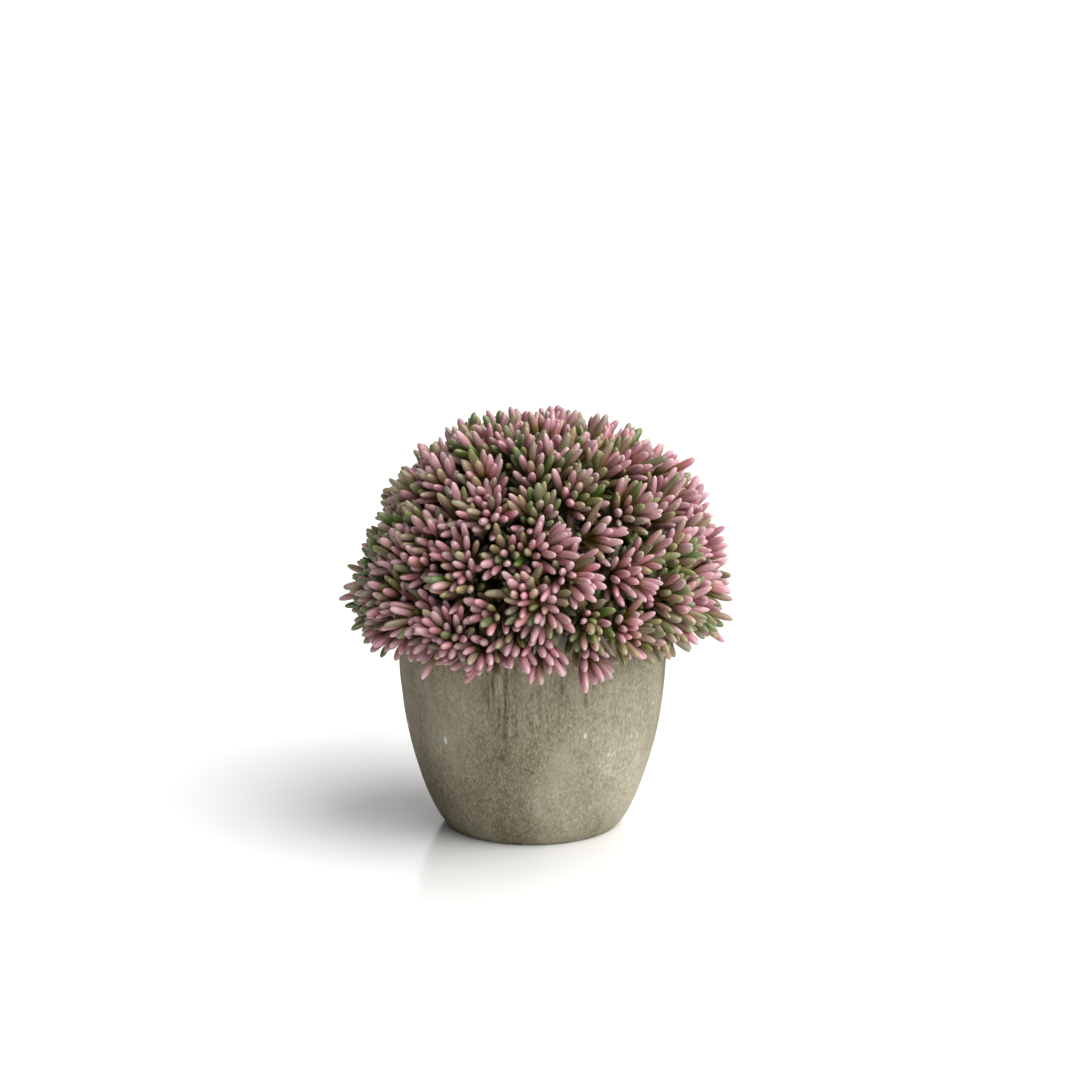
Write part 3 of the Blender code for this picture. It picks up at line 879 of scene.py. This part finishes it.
def scatter_tips():
    places = []
    for index in range(TIPS_ON_BALL):
        rise = 1 - (1 - math.sin(SKIRT_START)) * (index + draw.random()) / TIPS_ON_BALL
        places.append((math.asin(rise), GOLDEN_TURN * index))
    for index in range(TIPS_ON_SKIRT):
        azimuth = GOLDEN_TURN * index
        wave = noise.noise(facing(0, azimuth) * SKIRT_WAVES)
        hangs = min(max(SKIRT_HANGS + SKIRT_RAGGED * wave, SKIRT_LEAST), 1)
        lowest = SKIRT_START + (SKIRT_END - SKIRT_START) * hangs
        places.append((draw.uniform(lowest, SKIRT_START), azimuth))
    owners = np.arange(len(places))
    rooms = np.full(len(places), TIP_ROOM)
    for _ in range(TIP_ROUNDS):
        points = np.array([on_head(*place) for place in places])
        pushed = points + push_apart(points, owners, rooms, TIP_PUSH)
        places = [head_faces(Vector(point)) for point in pushed]
        places = [(max(elevation, SKIRT_END), azimuth) for elevation, azimuth in places]
    depths = TIPS_DEEPEST * draw.random(len(places)) ** MOSTLY_SHALLOW
    strays = draw.random(len(places)) < STRAY_SHARE
    depths = np.where(strays, -STRAY_FURTHEST * draw.random(len(places)), depths)
    return [settle_in(on_head(*place, depth)) for place, depth in zip(places, depths)]


tips = scatter_tips()
print("tips:", len(tips))

# %% [markdown]
# ## Laying the outer leaves
# A leaf runs from its tuft's bud towards its tip: an upright one from the bud's end, a leaning
# one from lower down. It could simply belong to the nearest tuft, but then each tuft would end at
# a straight border. So a tip draws one of the tufts that can reach it, mostly a near one, and
# neighbouring tufts mix. A leaf is kept as a few numbers until all have found their places.

# %% Outer leaves
LEAF_WIDTH = 2.95 * MM
LEAF_LONGEST = 16.4 * MM
LEAF_SHORTEST = 8.5 * MM
LENGTH_VARIES = 0.06
LEAN_FROM_START = math.radians(50)  # a leaf that leans this far or more grows from its bud's start
CROWN = 7 * MM  # tufts are sought by a point this far out from their buds
NEAR_TUFTS = 4
NEARNESS = 10 * MM
TIPS_INSIDE = 0.3 * MM  # how deep the tip of any leaf but a stray one has to lie


class Leaf:
    """A leaf: its tuft, foot, way and length, how deep it has to end, and whether it is old."""

    def __init__(self, tuft, foot, way, length, shallowest=TIPS_INSIDE, inner=False):
        self.tuft, self.foot, self.way = tuft, foot, way.normalized()
        self.length, self.shallowest, self.inner = length, shallowest, inner

    def at(self, share):
        """The point that lies this share of the way from the foot to the tip."""
        return self.foot + self.way * self.length * share


def lay_leaf(tip):
    near = [(every_tuft[index], away) for _, index, away in crowns.find_n(tip, NEAR_TUFTS)]
    within = [(tuft, away) for tuft, away in near if (tip - tuft.end).length < LEAF_LONGEST]
    near = within or near[:1]
    chances = np.array([math.exp(-away / NEARNESS) for _, away in near])
    tuft = near[draw.choice(len(near), p=chances / chances.sum())][0]
    lean = tuft.out.angle(tip - tuft.end)
    foot = tuft.end.lerp(tuft.start, min(lean / LEAN_FROM_START, 1))
    toward = tip - foot
    length = min(max(toward.length, LEAF_SHORTEST), LEAF_LONGEST)
    length *= 1 - draw.random() * LENGTH_VARIES
    return Leaf(tuft, foot, toward, length, min(head_depth(foot + toward), TIPS_INSIDE))


every_tuft = [tuft for group in tufts for tuft in group]
crowns = KDTree(len(every_tuft))
for index, tuft in enumerate(every_tuft):
    crowns.insert(tuft.end + tuft.out * CROWN, index)
crowns.balance()
leaves = [lay_leaf(tip) for tip in tips]
print("outer leaves laid:", len(leaves))

# %% [markdown]
# ## Laying the old leaves
# Below its bud, each branch still has older leaves: shorter, greener and deep in the head. Plain
# dark branches could stand for them, but daylight would show between the tufts. A golden spiral
# down the branch lays them, because that leaves no two of them in line.

# %% Old leaves
INNER_LEAVES = 17  # to a tuft
INNER_LENGTH = 11.5 * MM
INNER_LENGTH_VARIES = (0.85, 1.1)
INNER_LEAN = (34, 80)  # degrees
INNER_DOWN_TO = 13 * MM  # below the bud's start
INNER_FIRST = 0.3  # of the distance between two of them


def lay_inner_leaves(tuft):
    start = draw.uniform(0, 2 * math.pi)
    east = tuft.out.orthogonal().normalized()
    north = tuft.out.cross(east)
    for place in range(INNER_LEAVES):
        foot = tuft.start - tuft.out * INNER_DOWN_TO * (place + INNER_FIRST) / INNER_LEAVES
        lean = math.radians(draw.uniform(*INNER_LEAN))
        turn = start + GOLDEN_TURN * place
        aside = east * math.cos(turn) + north * math.sin(turn)
        way = tuft.out * math.cos(lean) + aside * math.sin(lean)
        yield Leaf(tuft, foot, way, INNER_LENGTH * draw.uniform(*INNER_LENGTH_VARIES), inner=True)


for tuft in every_tuft:
    leaves += lay_inner_leaves(tuft)
print("leaves laid:", len(leaves))

# %% [markdown]
# ## Settling the leaves
# A head this full has no two leaves in one place, because growing leaves press each other aside.
# Cutting them where they cross would leave hard edges, so a few more rounds of pushing settle
# them. Points along every leaf push away the points of other leaves that come too near, and the
# pot's rim pushes too. A leaf keeps its length and its foot, and only its lean changes.

# %% Settling
SETTLE_ROUNDS = 16
SETTLE_SHARES = (0.50, 0.74, 0.96)  # where along a leaf it pushes
SETTLE_ROOM = (2.4 * MM, 3.2 * MM, 3.2 * MM)  # how near another leaf may come there
SETTLE_PUSH = 0.3
RIM_ROOM = 2.0 * MM
LARGEST_LEAN = math.radians(80)


def press_off_pot(points):
    """Points too near the pot's rim or wall are pushed up over the rim or out past the wall."""
    pushes = np.zeros_like(points)
    for index, (x, y, z) in enumerate(points):
        short_up = POT_HEIGHT + RIM_ROOM - z
        if short_up > 0:
            wide = math.hypot(x, y)
            short_out = wall_radius(min(z, POT_HEIGHT)) + RIM_ROOM - wide
            if short_out > 0 and short_out < short_up:
                pushes[index] = (x / wide * short_out, y / wide * short_out, 0)
            elif short_out > 0:
                pushes[index] = (0, 0, short_up)
    return pushes


def hold_lean(ways, outs):
    """Brings back each way that leans too far from the way that its tuft faces."""
    share = (ways * outs).sum(1)
    aside = ways - outs * share[:, None]
    aside /= np.linalg.norm(aside, axis=1)[:, None]
    held = outs * math.cos(LARGEST_LEAN) + aside * math.sin(LARGEST_LEAN)
    return np.where((share < math.cos(LARGEST_LEAN))[:, None], held, ways)


def settle(leaves):
    feet = np.array([leaf.foot for leaf in leaves])
    ways = np.array([leaf.way for leaf in leaves])
    outs = np.array([leaf.tuft.out for leaf in leaves])
    lengths = np.array([leaf.length for leaf in leaves])
    owners = np.tile(np.arange(len(leaves)), len(SETTLE_SHARES))
    shares = np.repeat(SETTLE_SHARES, len(leaves))
    rooms = np.repeat(SETTLE_ROOM, len(leaves))
    for _ in range(SETTLE_ROUNDS):
        points = feet[owners] + ways[owners] * (lengths[owners] * shares)[:, None]
        pushes = push_apart(points, owners, rooms, SETTLE_PUSH) + press_off_pot(points)
        tips = feet + ways * lengths[:, None]
        np.add.at(tips, owners, pushes / shares[:, None] / 2)
        ways = tips - feet
        ways /= np.linalg.norm(ways, axis=1)[:, None]
        ways = hold_lean(ways, outs)
    for leaf, way in zip(leaves, ways):
        leaf.way = Vector(way)


settle(leaves)
leans = [math.degrees(leaf.way.angle(leaf.tuft.out)) for leaf in leaves if not leaf.inner]
print("outer leaves lean, degrees:", round(min(leans)), "to", round(max(leans)))

# %% [markdown]
# ## Trimming long leaves
# Settling has turned some leaves more upright, and they could now reach too far out. Scaling the
# whole plant down would spoil the rest, so each leaf is shortened by itself. A stray leaf may
# stand out of the head as far as it was laid, any other ends just inside it, and none passes the
# box of the solids. A leaf that still runs into the pot is left out.

# %% Trimming long leaves
BOX_MARGIN = 0.3 * MM
WIDEST_AT = 0.7  # of a leaf's length
TRIM_STEP = 0.1 * MM
POT_CLEARANCE = 0.6 * MM
CLEARED_AT = (0.4, 0.7, 1.0)  # of a leaf's length


def passes_box(leaf):
    """Whether a leaf's tip or its widest part reaches past the box of the solids."""
    for share, room in ((1.0, BOX_MARGIN), (WIDEST_AT, BOX_MARGIN + LEAF_WIDTH / 2)):
        for low, value, high in zip(solid_box[0], leaf.at(share), solid_box[1]):
            if value - room < low or value + room > high:
                return True
    return False


def in_pot(leaf):
    for point in (leaf.at(share) for share in CLEARED_AT):
        wide = math.hypot(point.x, point.y)
        if point.z < POT_HEIGHT and wide < wall_radius(point.z) + POT_CLEARANCE:
            return True
    return False


for one in leaves:
    while head_depth(one.at(1)) < one.shallowest or passes_box(one):
        one.length -= TRIM_STEP
leaves = [one for one in leaves if not in_pot(one)]
outer = [one for one in leaves if not one.inner]
lengths = [one.length / MM for one in outer]
print("outer leaves:", len(outer), "inner leaves:", len(leaves) - len(outer))
print("outer lengths, mm:", round(min(lengths), 1), "to", round(max(lengths), 1))

# %% [markdown]
# ## How much each leaf blushes
# The pink isn't spread evenly. Whole tufts are greener, most of all at the left edge and low on
# the right, and next to a pink leaf there may be a plain olive one. One noise over the head would
# make patches, but no such neighbours. So a tuft has drawn a tone, each leaf draws a change to
# it, and a slow noise adds the patches.

# %% Blush and width of each leaf
INNER_WIDTH = 2.9 * MM
WIDTH_VARIES = (0.82, 1.1)
MEAN_BLUSH = 0.56
INNER_BLUSH = 0.2
BLUSH_VARIES = 0.2
LEAST_BLUSH, MOST_BLUSH = 0.02, 0.98
BLUSH_PATCHES = 30  # to a metre
PATCH_BLUSH = 0.2
LOW_HEIGHTS = (POT_HEIGHT - 4 * MM, POT_HEIGHT + 14 * MM)  # wholly low, and no longer low
LOW_RIGHT_RISES = (0, 34 * MM)  # not yet on the right, and wholly there
LOW_RIGHT_GREENER = 0.24
LEFT_EDGE = (-60 * MM, -42 * MM)  # wholly at the left edge, and no longer there
LEFT_EDGE_GREENER = 0.12


def drawn_blush(leaf):
    """How much a leaf blushes, from 0 for green to 1 for pink."""
    tip = leaf.at(1)
    patch = noise.noise(tip * BLUSH_PATCHES) * PATCH_BLUSH
    low = np.interp(tip.z, LOW_HEIGHTS, (1, 0))
    low_right = LOW_RIGHT_GREENER * low * np.interp(tip.x, LOW_RIGHT_RISES, (0, 1))
    left_edge = LEFT_EDGE_GREENER * np.interp(tip.x, LEFT_EDGE, (1, 0))
    mean = INNER_BLUSH if leaf.inner else MEAN_BLUSH
    blush = mean + leaf.tuft.tone + patch - low_right - left_edge + draw.normal(0, BLUSH_VARIES)
    return min(max(blush, LEAST_BLUSH), MOST_BLUSH)


for one in leaves:
    one.blush = drawn_blush(one)
    one.width = (INNER_WIDTH if one.inner else LEAF_WIDTH) * draw.uniform(*WIDTH_VARIES)
print("mean blush of outer leaves:", round(sum(one.blush for one in outer) / len(outer), 2))

# %% [markdown]
# ## Lofting
# Leaves, stems and branches are all long forms with a changing thickness. They could be curves
# with a bevel, but those can't carry numbers from point to point. So they are lofted: rings of
# points are joined by faces and closed at both ends. The finish needs its four numbers on each
# leaf, and they are written on the corners of the faces, where they outlast the union to come.


# %% Lofting
def loft(name, rings, ends, carried):
    """A closed form through rings of points and two end points, with numbers for each point."""
    sides = len(rings[0])
    points = [point for ring in rings for point in ring] + ends
    faces = []
    for ring in range(len(rings) - 1):
        for side in range(sides):
            after = (side + 1) % sides
            low, high = ring * sides, (ring + 1) * sides
            faces.append((low + side, low + after, high + after, high + side))
    first, last = len(points) - 2, len(points) - 1
    top = (len(rings) - 1) * sides
    for side in range(sides):
        after = (side + 1) % sides
        faces.append((first, after, side))
        faces.append((last, top + side, top + after))
    mesh = bpy.data.meshes.new(name)
    mesh.from_pydata([tuple(point) for point in points], [], faces)
    corner_points = [loop.vertex_index for loop in mesh.loops]
    # the depth drives the painted shade of the leaf finish
    for label, values in {**carried, "depth": [head_depth(point) for point in points]}.items():
        written = mesh.attributes.new(label, "FLOAT", "CORNER")
        written.data.foreach_set("value", [values[index] for index in corner_points])
    return mesh


squares = [[Vector((x, y, z)) for x, y in ((0, 0), (1, 0), (1, 1), (0, 1))] for z in (0, 1)]
block = loft("block", squares, [Vector((0.5, 0.5, 0)), Vector((0.5, 0.5, 1))], {})
print("faces in a loft through two squares:", len(block.polygons))
bpy.data.meshes.remove(block)

# %% [markdown]
# ## One leaf
# A leaf is a small club: a thin foot, nearly even sides over its outer half, and a blunt tip with
# a slight point. It is a touch flatter than it is wide, and it bends a little. A stretched ball
# could stand for it, but a ball has no foot and no shoulder, so a leaf is lofted along a bent
# line.

# %% One leaf
LEAF_FLATNESS = 0.86
LEAF_BEND = 1.4 * MM
BENDS_OUT, BENDS_ASIDE = (-0.4, 1), (-0.7, 0.7)  # shares of the bend that a leaf draws from
NEARLY_UPRIGHT = 0.05
LEAF_SIDES = 10
LEAF_RINGS = (  # share of the length, and share of the full width there
    (0.00, 0.30), (0.13, 0.33), (0.26, 0.47), (0.38, 0.72), (0.50, 0.91), (0.62, 1.00),
    (0.75, 0.99), (0.855, 0.88), (0.925, 0.70), (0.970, 0.46), (0.991, 0.21),
)
INNER_SIDES = 8
INNER_RINGS = (
    (0.0, 0.3), (0.2, 0.4), (0.42, 0.8), (0.65, 1.0), (0.85, 0.85), (0.95, 0.5), (0.99, 0.2),
)


def loft_leaf(leaf):
    outline, sides = (INNER_RINGS, INNER_SIDES) if leaf.inner else (LEAF_RINGS, LEAF_SIDES)
    across = leaf.way.cross(leaf.tuft.out)
    if across.length <= NEARLY_UPRIGHT:
        across = leaf.way.orthogonal()
    across.normalize()
    deep = leaf.way.cross(across)
    bend = -deep * LEAF_BEND * draw.uniform(*BENDS_OUT)
    bend = bend + across * LEAF_BEND * draw.uniform(*BENDS_ASIDE)
    turns = ring_turns(sides)
    rings = []
    for share, wide in outline:
        centre = leaf.at(share) - bend * (2 * share * (1 - share))
        ways = [across * math.cos(turn) + deep * math.sin(turn) * LEAF_FLATNESS for turn in turns]
        rings.append([centre + way * leaf.width * wide / 2 for way in ways])
    along = [share for share, _ in outline for _ in turns] + [0, 1]
    around = [math.cos(turn) for _ in outline for turn in turns] + [0, 0]
    carried = {"along": along, "around": around, "blush": [leaf.blush] * len(along)}
    return loft("leaf", rings, [leaf.foot, leaf.at(1)], carried)


print("triangles in an outer leaf:", 2 * LEAF_SIDES * len(LEAF_RINGS))

# %% [markdown]
# ## Shoots
# Stems and branches are round shoots. A shoot could be a stack of straight pipes, but those kink
# where they meet. So its rings are carried along a smooth curve and turned with it. A shoot
# carries the same numbers as a leaf, set so that the leaf finish gives it the dark olive of a
# leaf's foot, and deep in the head the same painted shade darkens it.

# %% Shoots
SHOOT_SIDES = 8
SHOOT_ALONG = 0.12
SHOOT_BLUSH = 0.3
CURVE_PULL = 0.4  # how far the ends' directions are kept, as a share of the distance


def curve_through(start, end, start_way, end_way, steps):
    """Points on a smooth curve between two ends that leaves and arrives in given directions."""
    pull = (end - start).length * CURVE_PULL
    first, second = start + start_way * pull, end - end_way * pull
    points = []
    for step in range(steps + 1):
        share = step / steps
        rest = 1 - share
        points.append(start * rest**3 + first * 3 * rest**2 * share
                      + second * 3 * rest * share**2 + end * share**3)
    return points


def loft_shoot(points, radii):
    ways = [(points[1] - points[0]).normalized()]
    ways += [(after - before).normalized() for before, after in zip(points, points[2:])]
    ways.append((points[-1] - points[-2]).normalized())
    across = ways[0].orthogonal().normalized()
    last = ways[0]
    turns = ring_turns(SHOOT_SIDES)
    rings = []
    for point, way, radius in zip(points, ways, radii):
        across = last.rotation_difference(way) @ across
        last = way
        deep = way.cross(across)
        outward = [across * math.cos(turn) + deep * math.sin(turn) for turn in turns]
        rings.append([point + out * radius for out in outward])
    count = len(rings) * SHOOT_SIDES + 2
    same_all_over = {"along": SHOOT_ALONG, "around": 0.0, "blush": SHOOT_BLUSH}
    carried = {label: [value] * count for label, value in same_all_over.items()}
    return loft("shoot", rings, [points[0], points[-1]], carried)


print("curve of four steps, x:", [round(point.x, 2) for point in curve_through(
    Vector((0, 0, 0)), Vector((1, 0, 0)), Vector((0, 0, 1)), Vector((1, 0, 0)), 4)])

# %% [markdown]
# ## Stems and branches
# A stem keeps one thickness up to its fork. A branch leaves it there, curves out, and ends as the
# bud that carries a tuft. It could be as thin as a twig all along, but the feet of old leaves
# crowd it below the tuft, so it swells there.

# %% Stems and branches
STEM_RADIUS = 1.1 * MM
STEM_STEPS = 6
BRANCH_RADIUS = 0.75 * MM
BRANCH_STEPS = 7
BUD_RADIUS = 1.0 * MM
BUD_TAPER = 0.7
CROWDED_RADIUS = 4.6 * MM
CROWDED_SHARE = 0.36  # of the branch's length, where that is less
SWELL_FROM = 0.1
SWELL_POWER = 1.3


def loft_stem(low, surface, fork, rise):
    points = [low, *curve_through(surface, fork, Vector((0, 0, 1)), rise, STEM_STEPS)]
    return loft_shoot(points, [STEM_RADIUS] * len(points))


def loft_branch(crotch, tuft):
    toward = tuft.start - crotch
    points = curve_through(crotch, tuft.start, toward.normalized(), tuft.out, BRANCH_STEPS)
    crowded = min(CROWDED_RADIUS, toward.length * CROWDED_SHARE)
    radii = []
    for step in range(BRANCH_STEPS + 1):
        climb = step / BRANCH_STEPS
        swelling = min(max((climb - SWELL_FROM) / (1 - SWELL_FROM), 0), 1)
        swell = math.sin(math.pi * swelling) ** SWELL_POWER
        plain = BRANCH_RADIUS + (BUD_RADIUS - BRANCH_RADIUS) * climb
        radii.append(plain + (crowded - plain) * swell)
    return loft_shoot([*points, tuft.end], [*radii, BUD_RADIUS * BUD_TAPER])


print("rings in a stem:", STEM_STEPS + 2, "and in a branch:", BRANCH_STEPS + 2)

# %% [markdown]
# ## Joining a leafy stem
# About a hundred leaves and their shoots only run into each other so far. They could stay apart,
# but a living plant has one skin. One union over a collection gives it that and removes what lies
# inside. The exact solver needs about five seconds for a stem, and the manifold one a fraction of
# a second, on condition that every form is closed and faces outwards. The joined form is kept and
# its pieces are deleted.


# %% Joining a leafy stem
def join_all(name, trunk, pieces):
    group = bpy.data.collections.new(name)
    parts = []
    for mesh in pieces:
        part = bpy.data.objects.new(mesh.name, mesh)
        group.objects.link(part)
        parts.append(part)
    whole = put_in_scene(name, trunk)
    union = whole.modifiers.new("join", "BOOLEAN")
    union.operation = "UNION"
    union.solver = "MANIFOLD"
    union.operand_type = "COLLECTION"
    union.collection = group
    evaluated = whole.evaluated_get(bpy.context.evaluated_depsgraph_get())
    joined = bpy.data.meshes.new_from_object(evaluated)
    for part in [*parts, whole]:
        mesh = part.data
        bpy.data.objects.remove(part, do_unlink=True)
        bpy.data.meshes.remove(mesh)
    bpy.data.collections.remove(group)
    joined.name = name
    return joined


def keep_largest_skin(mesh):
    """Drops scraps of the union and leaves that touch nothing, and says how many there were."""
    bm = bmesh.new()
    bm.from_mesh(mesh)
    unseen = set(bm.verts)
    skins = []
    while unseen:
        front = [unseen.pop()]
        skin = list(front)
        while front:
            near = {edge.other_vert(vert) for vert in front for edge in vert.link_edges} & unseen
            unseen -= near
            skin += near
            front = list(near)
        skins.append(skin)
    largest = max(skins, key=len)
    loose = [vert for skin in skins if skin is not largest for vert in skin]
    bmesh.ops.delete(bm, geom=loose, context="VERTS")
    bm.to_mesh(mesh)
    bm.free()
    return len(skins) - 1


print("leaves to a stem, on average:", round(len(leaves) / STEMS))

# %% [markdown]
# ## All the leafy stems
# Each stem is lofted with its branches and leaves, joined, and shaded smoothly except where two
# leaves meet. Smoothing everything would blur those creases, and flat faces would show on the
# leaves, so only edges sharper than a set angle stay sharp.

# %% All the leafy stems
SHARP_FROM = math.radians(50)


def build_leafy_stem(index):
    low, surface, fork = routes[index]
    rise = (fork - surface).normalized()
    trunk = loft_stem(low, surface, fork, rise)
    pieces = [loft_branch(fork - rise * STEM_RADIUS, tuft) for tuft in tufts[index]]
    pieces += [loft_leaf(one) for one in leaves if one.tuft in tufts[index]]
    name = f"sedum_stem_{index + 1:02d}"
    mesh = join_all(name, trunk, pieces)
    dropped = keep_largest_skin(mesh)
    mesh.shade_smooth()
    mesh.set_sharp_from_angle(angle=SHARP_FROM)
    return add_piece(name, mesh, leaf_skin, [f"leafy_stem_{index + 1:02d}"]), dropped


leafy_stems, dropped = zip(*(build_leafy_stem(index) for index in range(STEMS)))
total = sum(triangles(piece.data) for piece in leafy_stems)
print("leafy stems:", len(leafy_stems), "triangles:", total, "skins dropped:", sum(dropped))

# %% [markdown]
# ## The stage
# The pot stands on a plain white floor that runs on far behind it. A curved paper sweep could do
# that, but its bend would show in a low view. So the floor is one large flat sheet that fills the
# view, a little glossy, so that the pot's foot shows faintly in it.

# %% Floor
FLOOR_HALF = 8.0
FLOOR_WHITE = paint(243, 243, 242)

floor_finish, floor_tree, floor_shader = start_finish("white_floor")
fill_sockets(floor_tree, floor_shader, {
    "Base Color": FLOOR_WHITE,
    "Roughness": 0.16,
    "Specular IOR Level": 0.3,
})
floor_mesh = bpy.data.meshes.new("floor")
corners = [(x * FLOOR_HALF, y * FLOOR_HALF, 0) for x, y in ((-1, -1), (1, -1), (1, 1), (-1, 1))]
floor_mesh.from_pydata(corners, [], [(0, 1, 2, 3)])
floor_mesh.materials.append(floor_finish)
floor = put_in_scene("floor", floor_mesh)
print("floor:", 2 * FLOOR_HALF, "m square")

# %% [markdown]
# ## The camera
# The pot's base shows as a flat ellipse, and its depth against its width says how far the camera
# looks down: about fourteen degrees. A short lens close by would make the pot's sides lean, so a
# long lens looks from over a metre away and keeps them as upright as in the photograph.

# %% Camera
PHOTO_SIDE = 1090
MM_PER_PIXEL = 0.3375
CAMERA_AWAY = 1.3
CAMERA_DOWN = math.radians(13.6)
SENSOR = 36.0
AIM = Vector((4.2 * MM, 0, 96.8 * MM))

camera_data = bpy.data.cameras.new("camera")
camera_data.sensor_width = SENSOR
camera_data.lens = SENSOR * CAMERA_AWAY / (PHOTO_SIDE * MM_PER_PIXEL * MM)
camera_data.clip_start = 0.05
camera_data.clip_end = 50
camera = put_in_scene("camera", camera_data)
toward = Vector((0, -math.cos(CAMERA_DOWN), math.sin(CAMERA_DOWN)))
camera.location = AIM + toward * CAMERA_AWAY
camera.rotation_euler = toward.to_track_quat("Z", "Y").to_euler()
bpy.context.scene.camera = camera
print("lens, mm:", round(camera_data.lens, 1))

# %% [markdown]
# ## The light
# The photograph was lit softly, mostly from above and from the right, with some light from in
# front, and its white floor is evenly bright far into the distance. Lamps near the plant would
# leave the far floor grey, so the lights here are suns, which lose nothing with distance. Each is
# spread over a wide angle, which makes its shadow as soft as a large studio lamp's. A pale world
# fills in the rest. It is brighter on the right than on the left, and brightest behind, like a
# white backdrop.

# %% Lights
FILL_EDGE = 0.7  # the fill changes between these places left and right
FILL_LEFT, FILL_RIGHT = 0.3, 1.5
BACKDROP_EDGE = (0.75, 0.95)


def add_sun(name, azimuth, elevation, spread_angle, strength):
    data = bpy.data.lights.new(name, "SUN")
    data.angle = math.radians(spread_angle)
    data.energy = strength
    sun = put_in_scene(name, data)
    way = facing(math.radians(elevation), math.radians(azimuth))
    sun.rotation_euler = way.to_track_quat("Z", "Y").to_euler()


def add_world(strength, backdrop):
    world = bpy.data.worlds.new("studio")
    world.use_nodes = True
    tree = world.node_tree
    way = add_node(tree, "TexCoord").outputs["Generated"]
    sides = add_node(tree, "SeparateXYZ", {"Vector": way}).outputs
    left, right = strength * FILL_LEFT, strength * FILL_RIGHT
    fill = spread(tree, sides["X"], -FILL_EDGE, FILL_EDGE, left, right)
    fill_sockets(tree, tree.nodes["Background"], {
        "Color": (1, 1, 1, 1),
        "Strength": spread(tree, sides["Y"], *BACKDROP_EDGE, fill, backdrop),
    })
    bpy.context.scene.world = world


add_world(strength=0.28, backdrop=1.2)
add_sun("side", azimuth=-30, elevation=30, spread_angle=60, strength=0.55)
add_sun("above", azimuth=-10, elevation=58, spread_angle=66, strength=2.8)
add_sun("front", azimuth=-46, elevation=32, spread_angle=64, strength=1.75)
bpy.context.scene.view_settings.view_transform = "Standard"
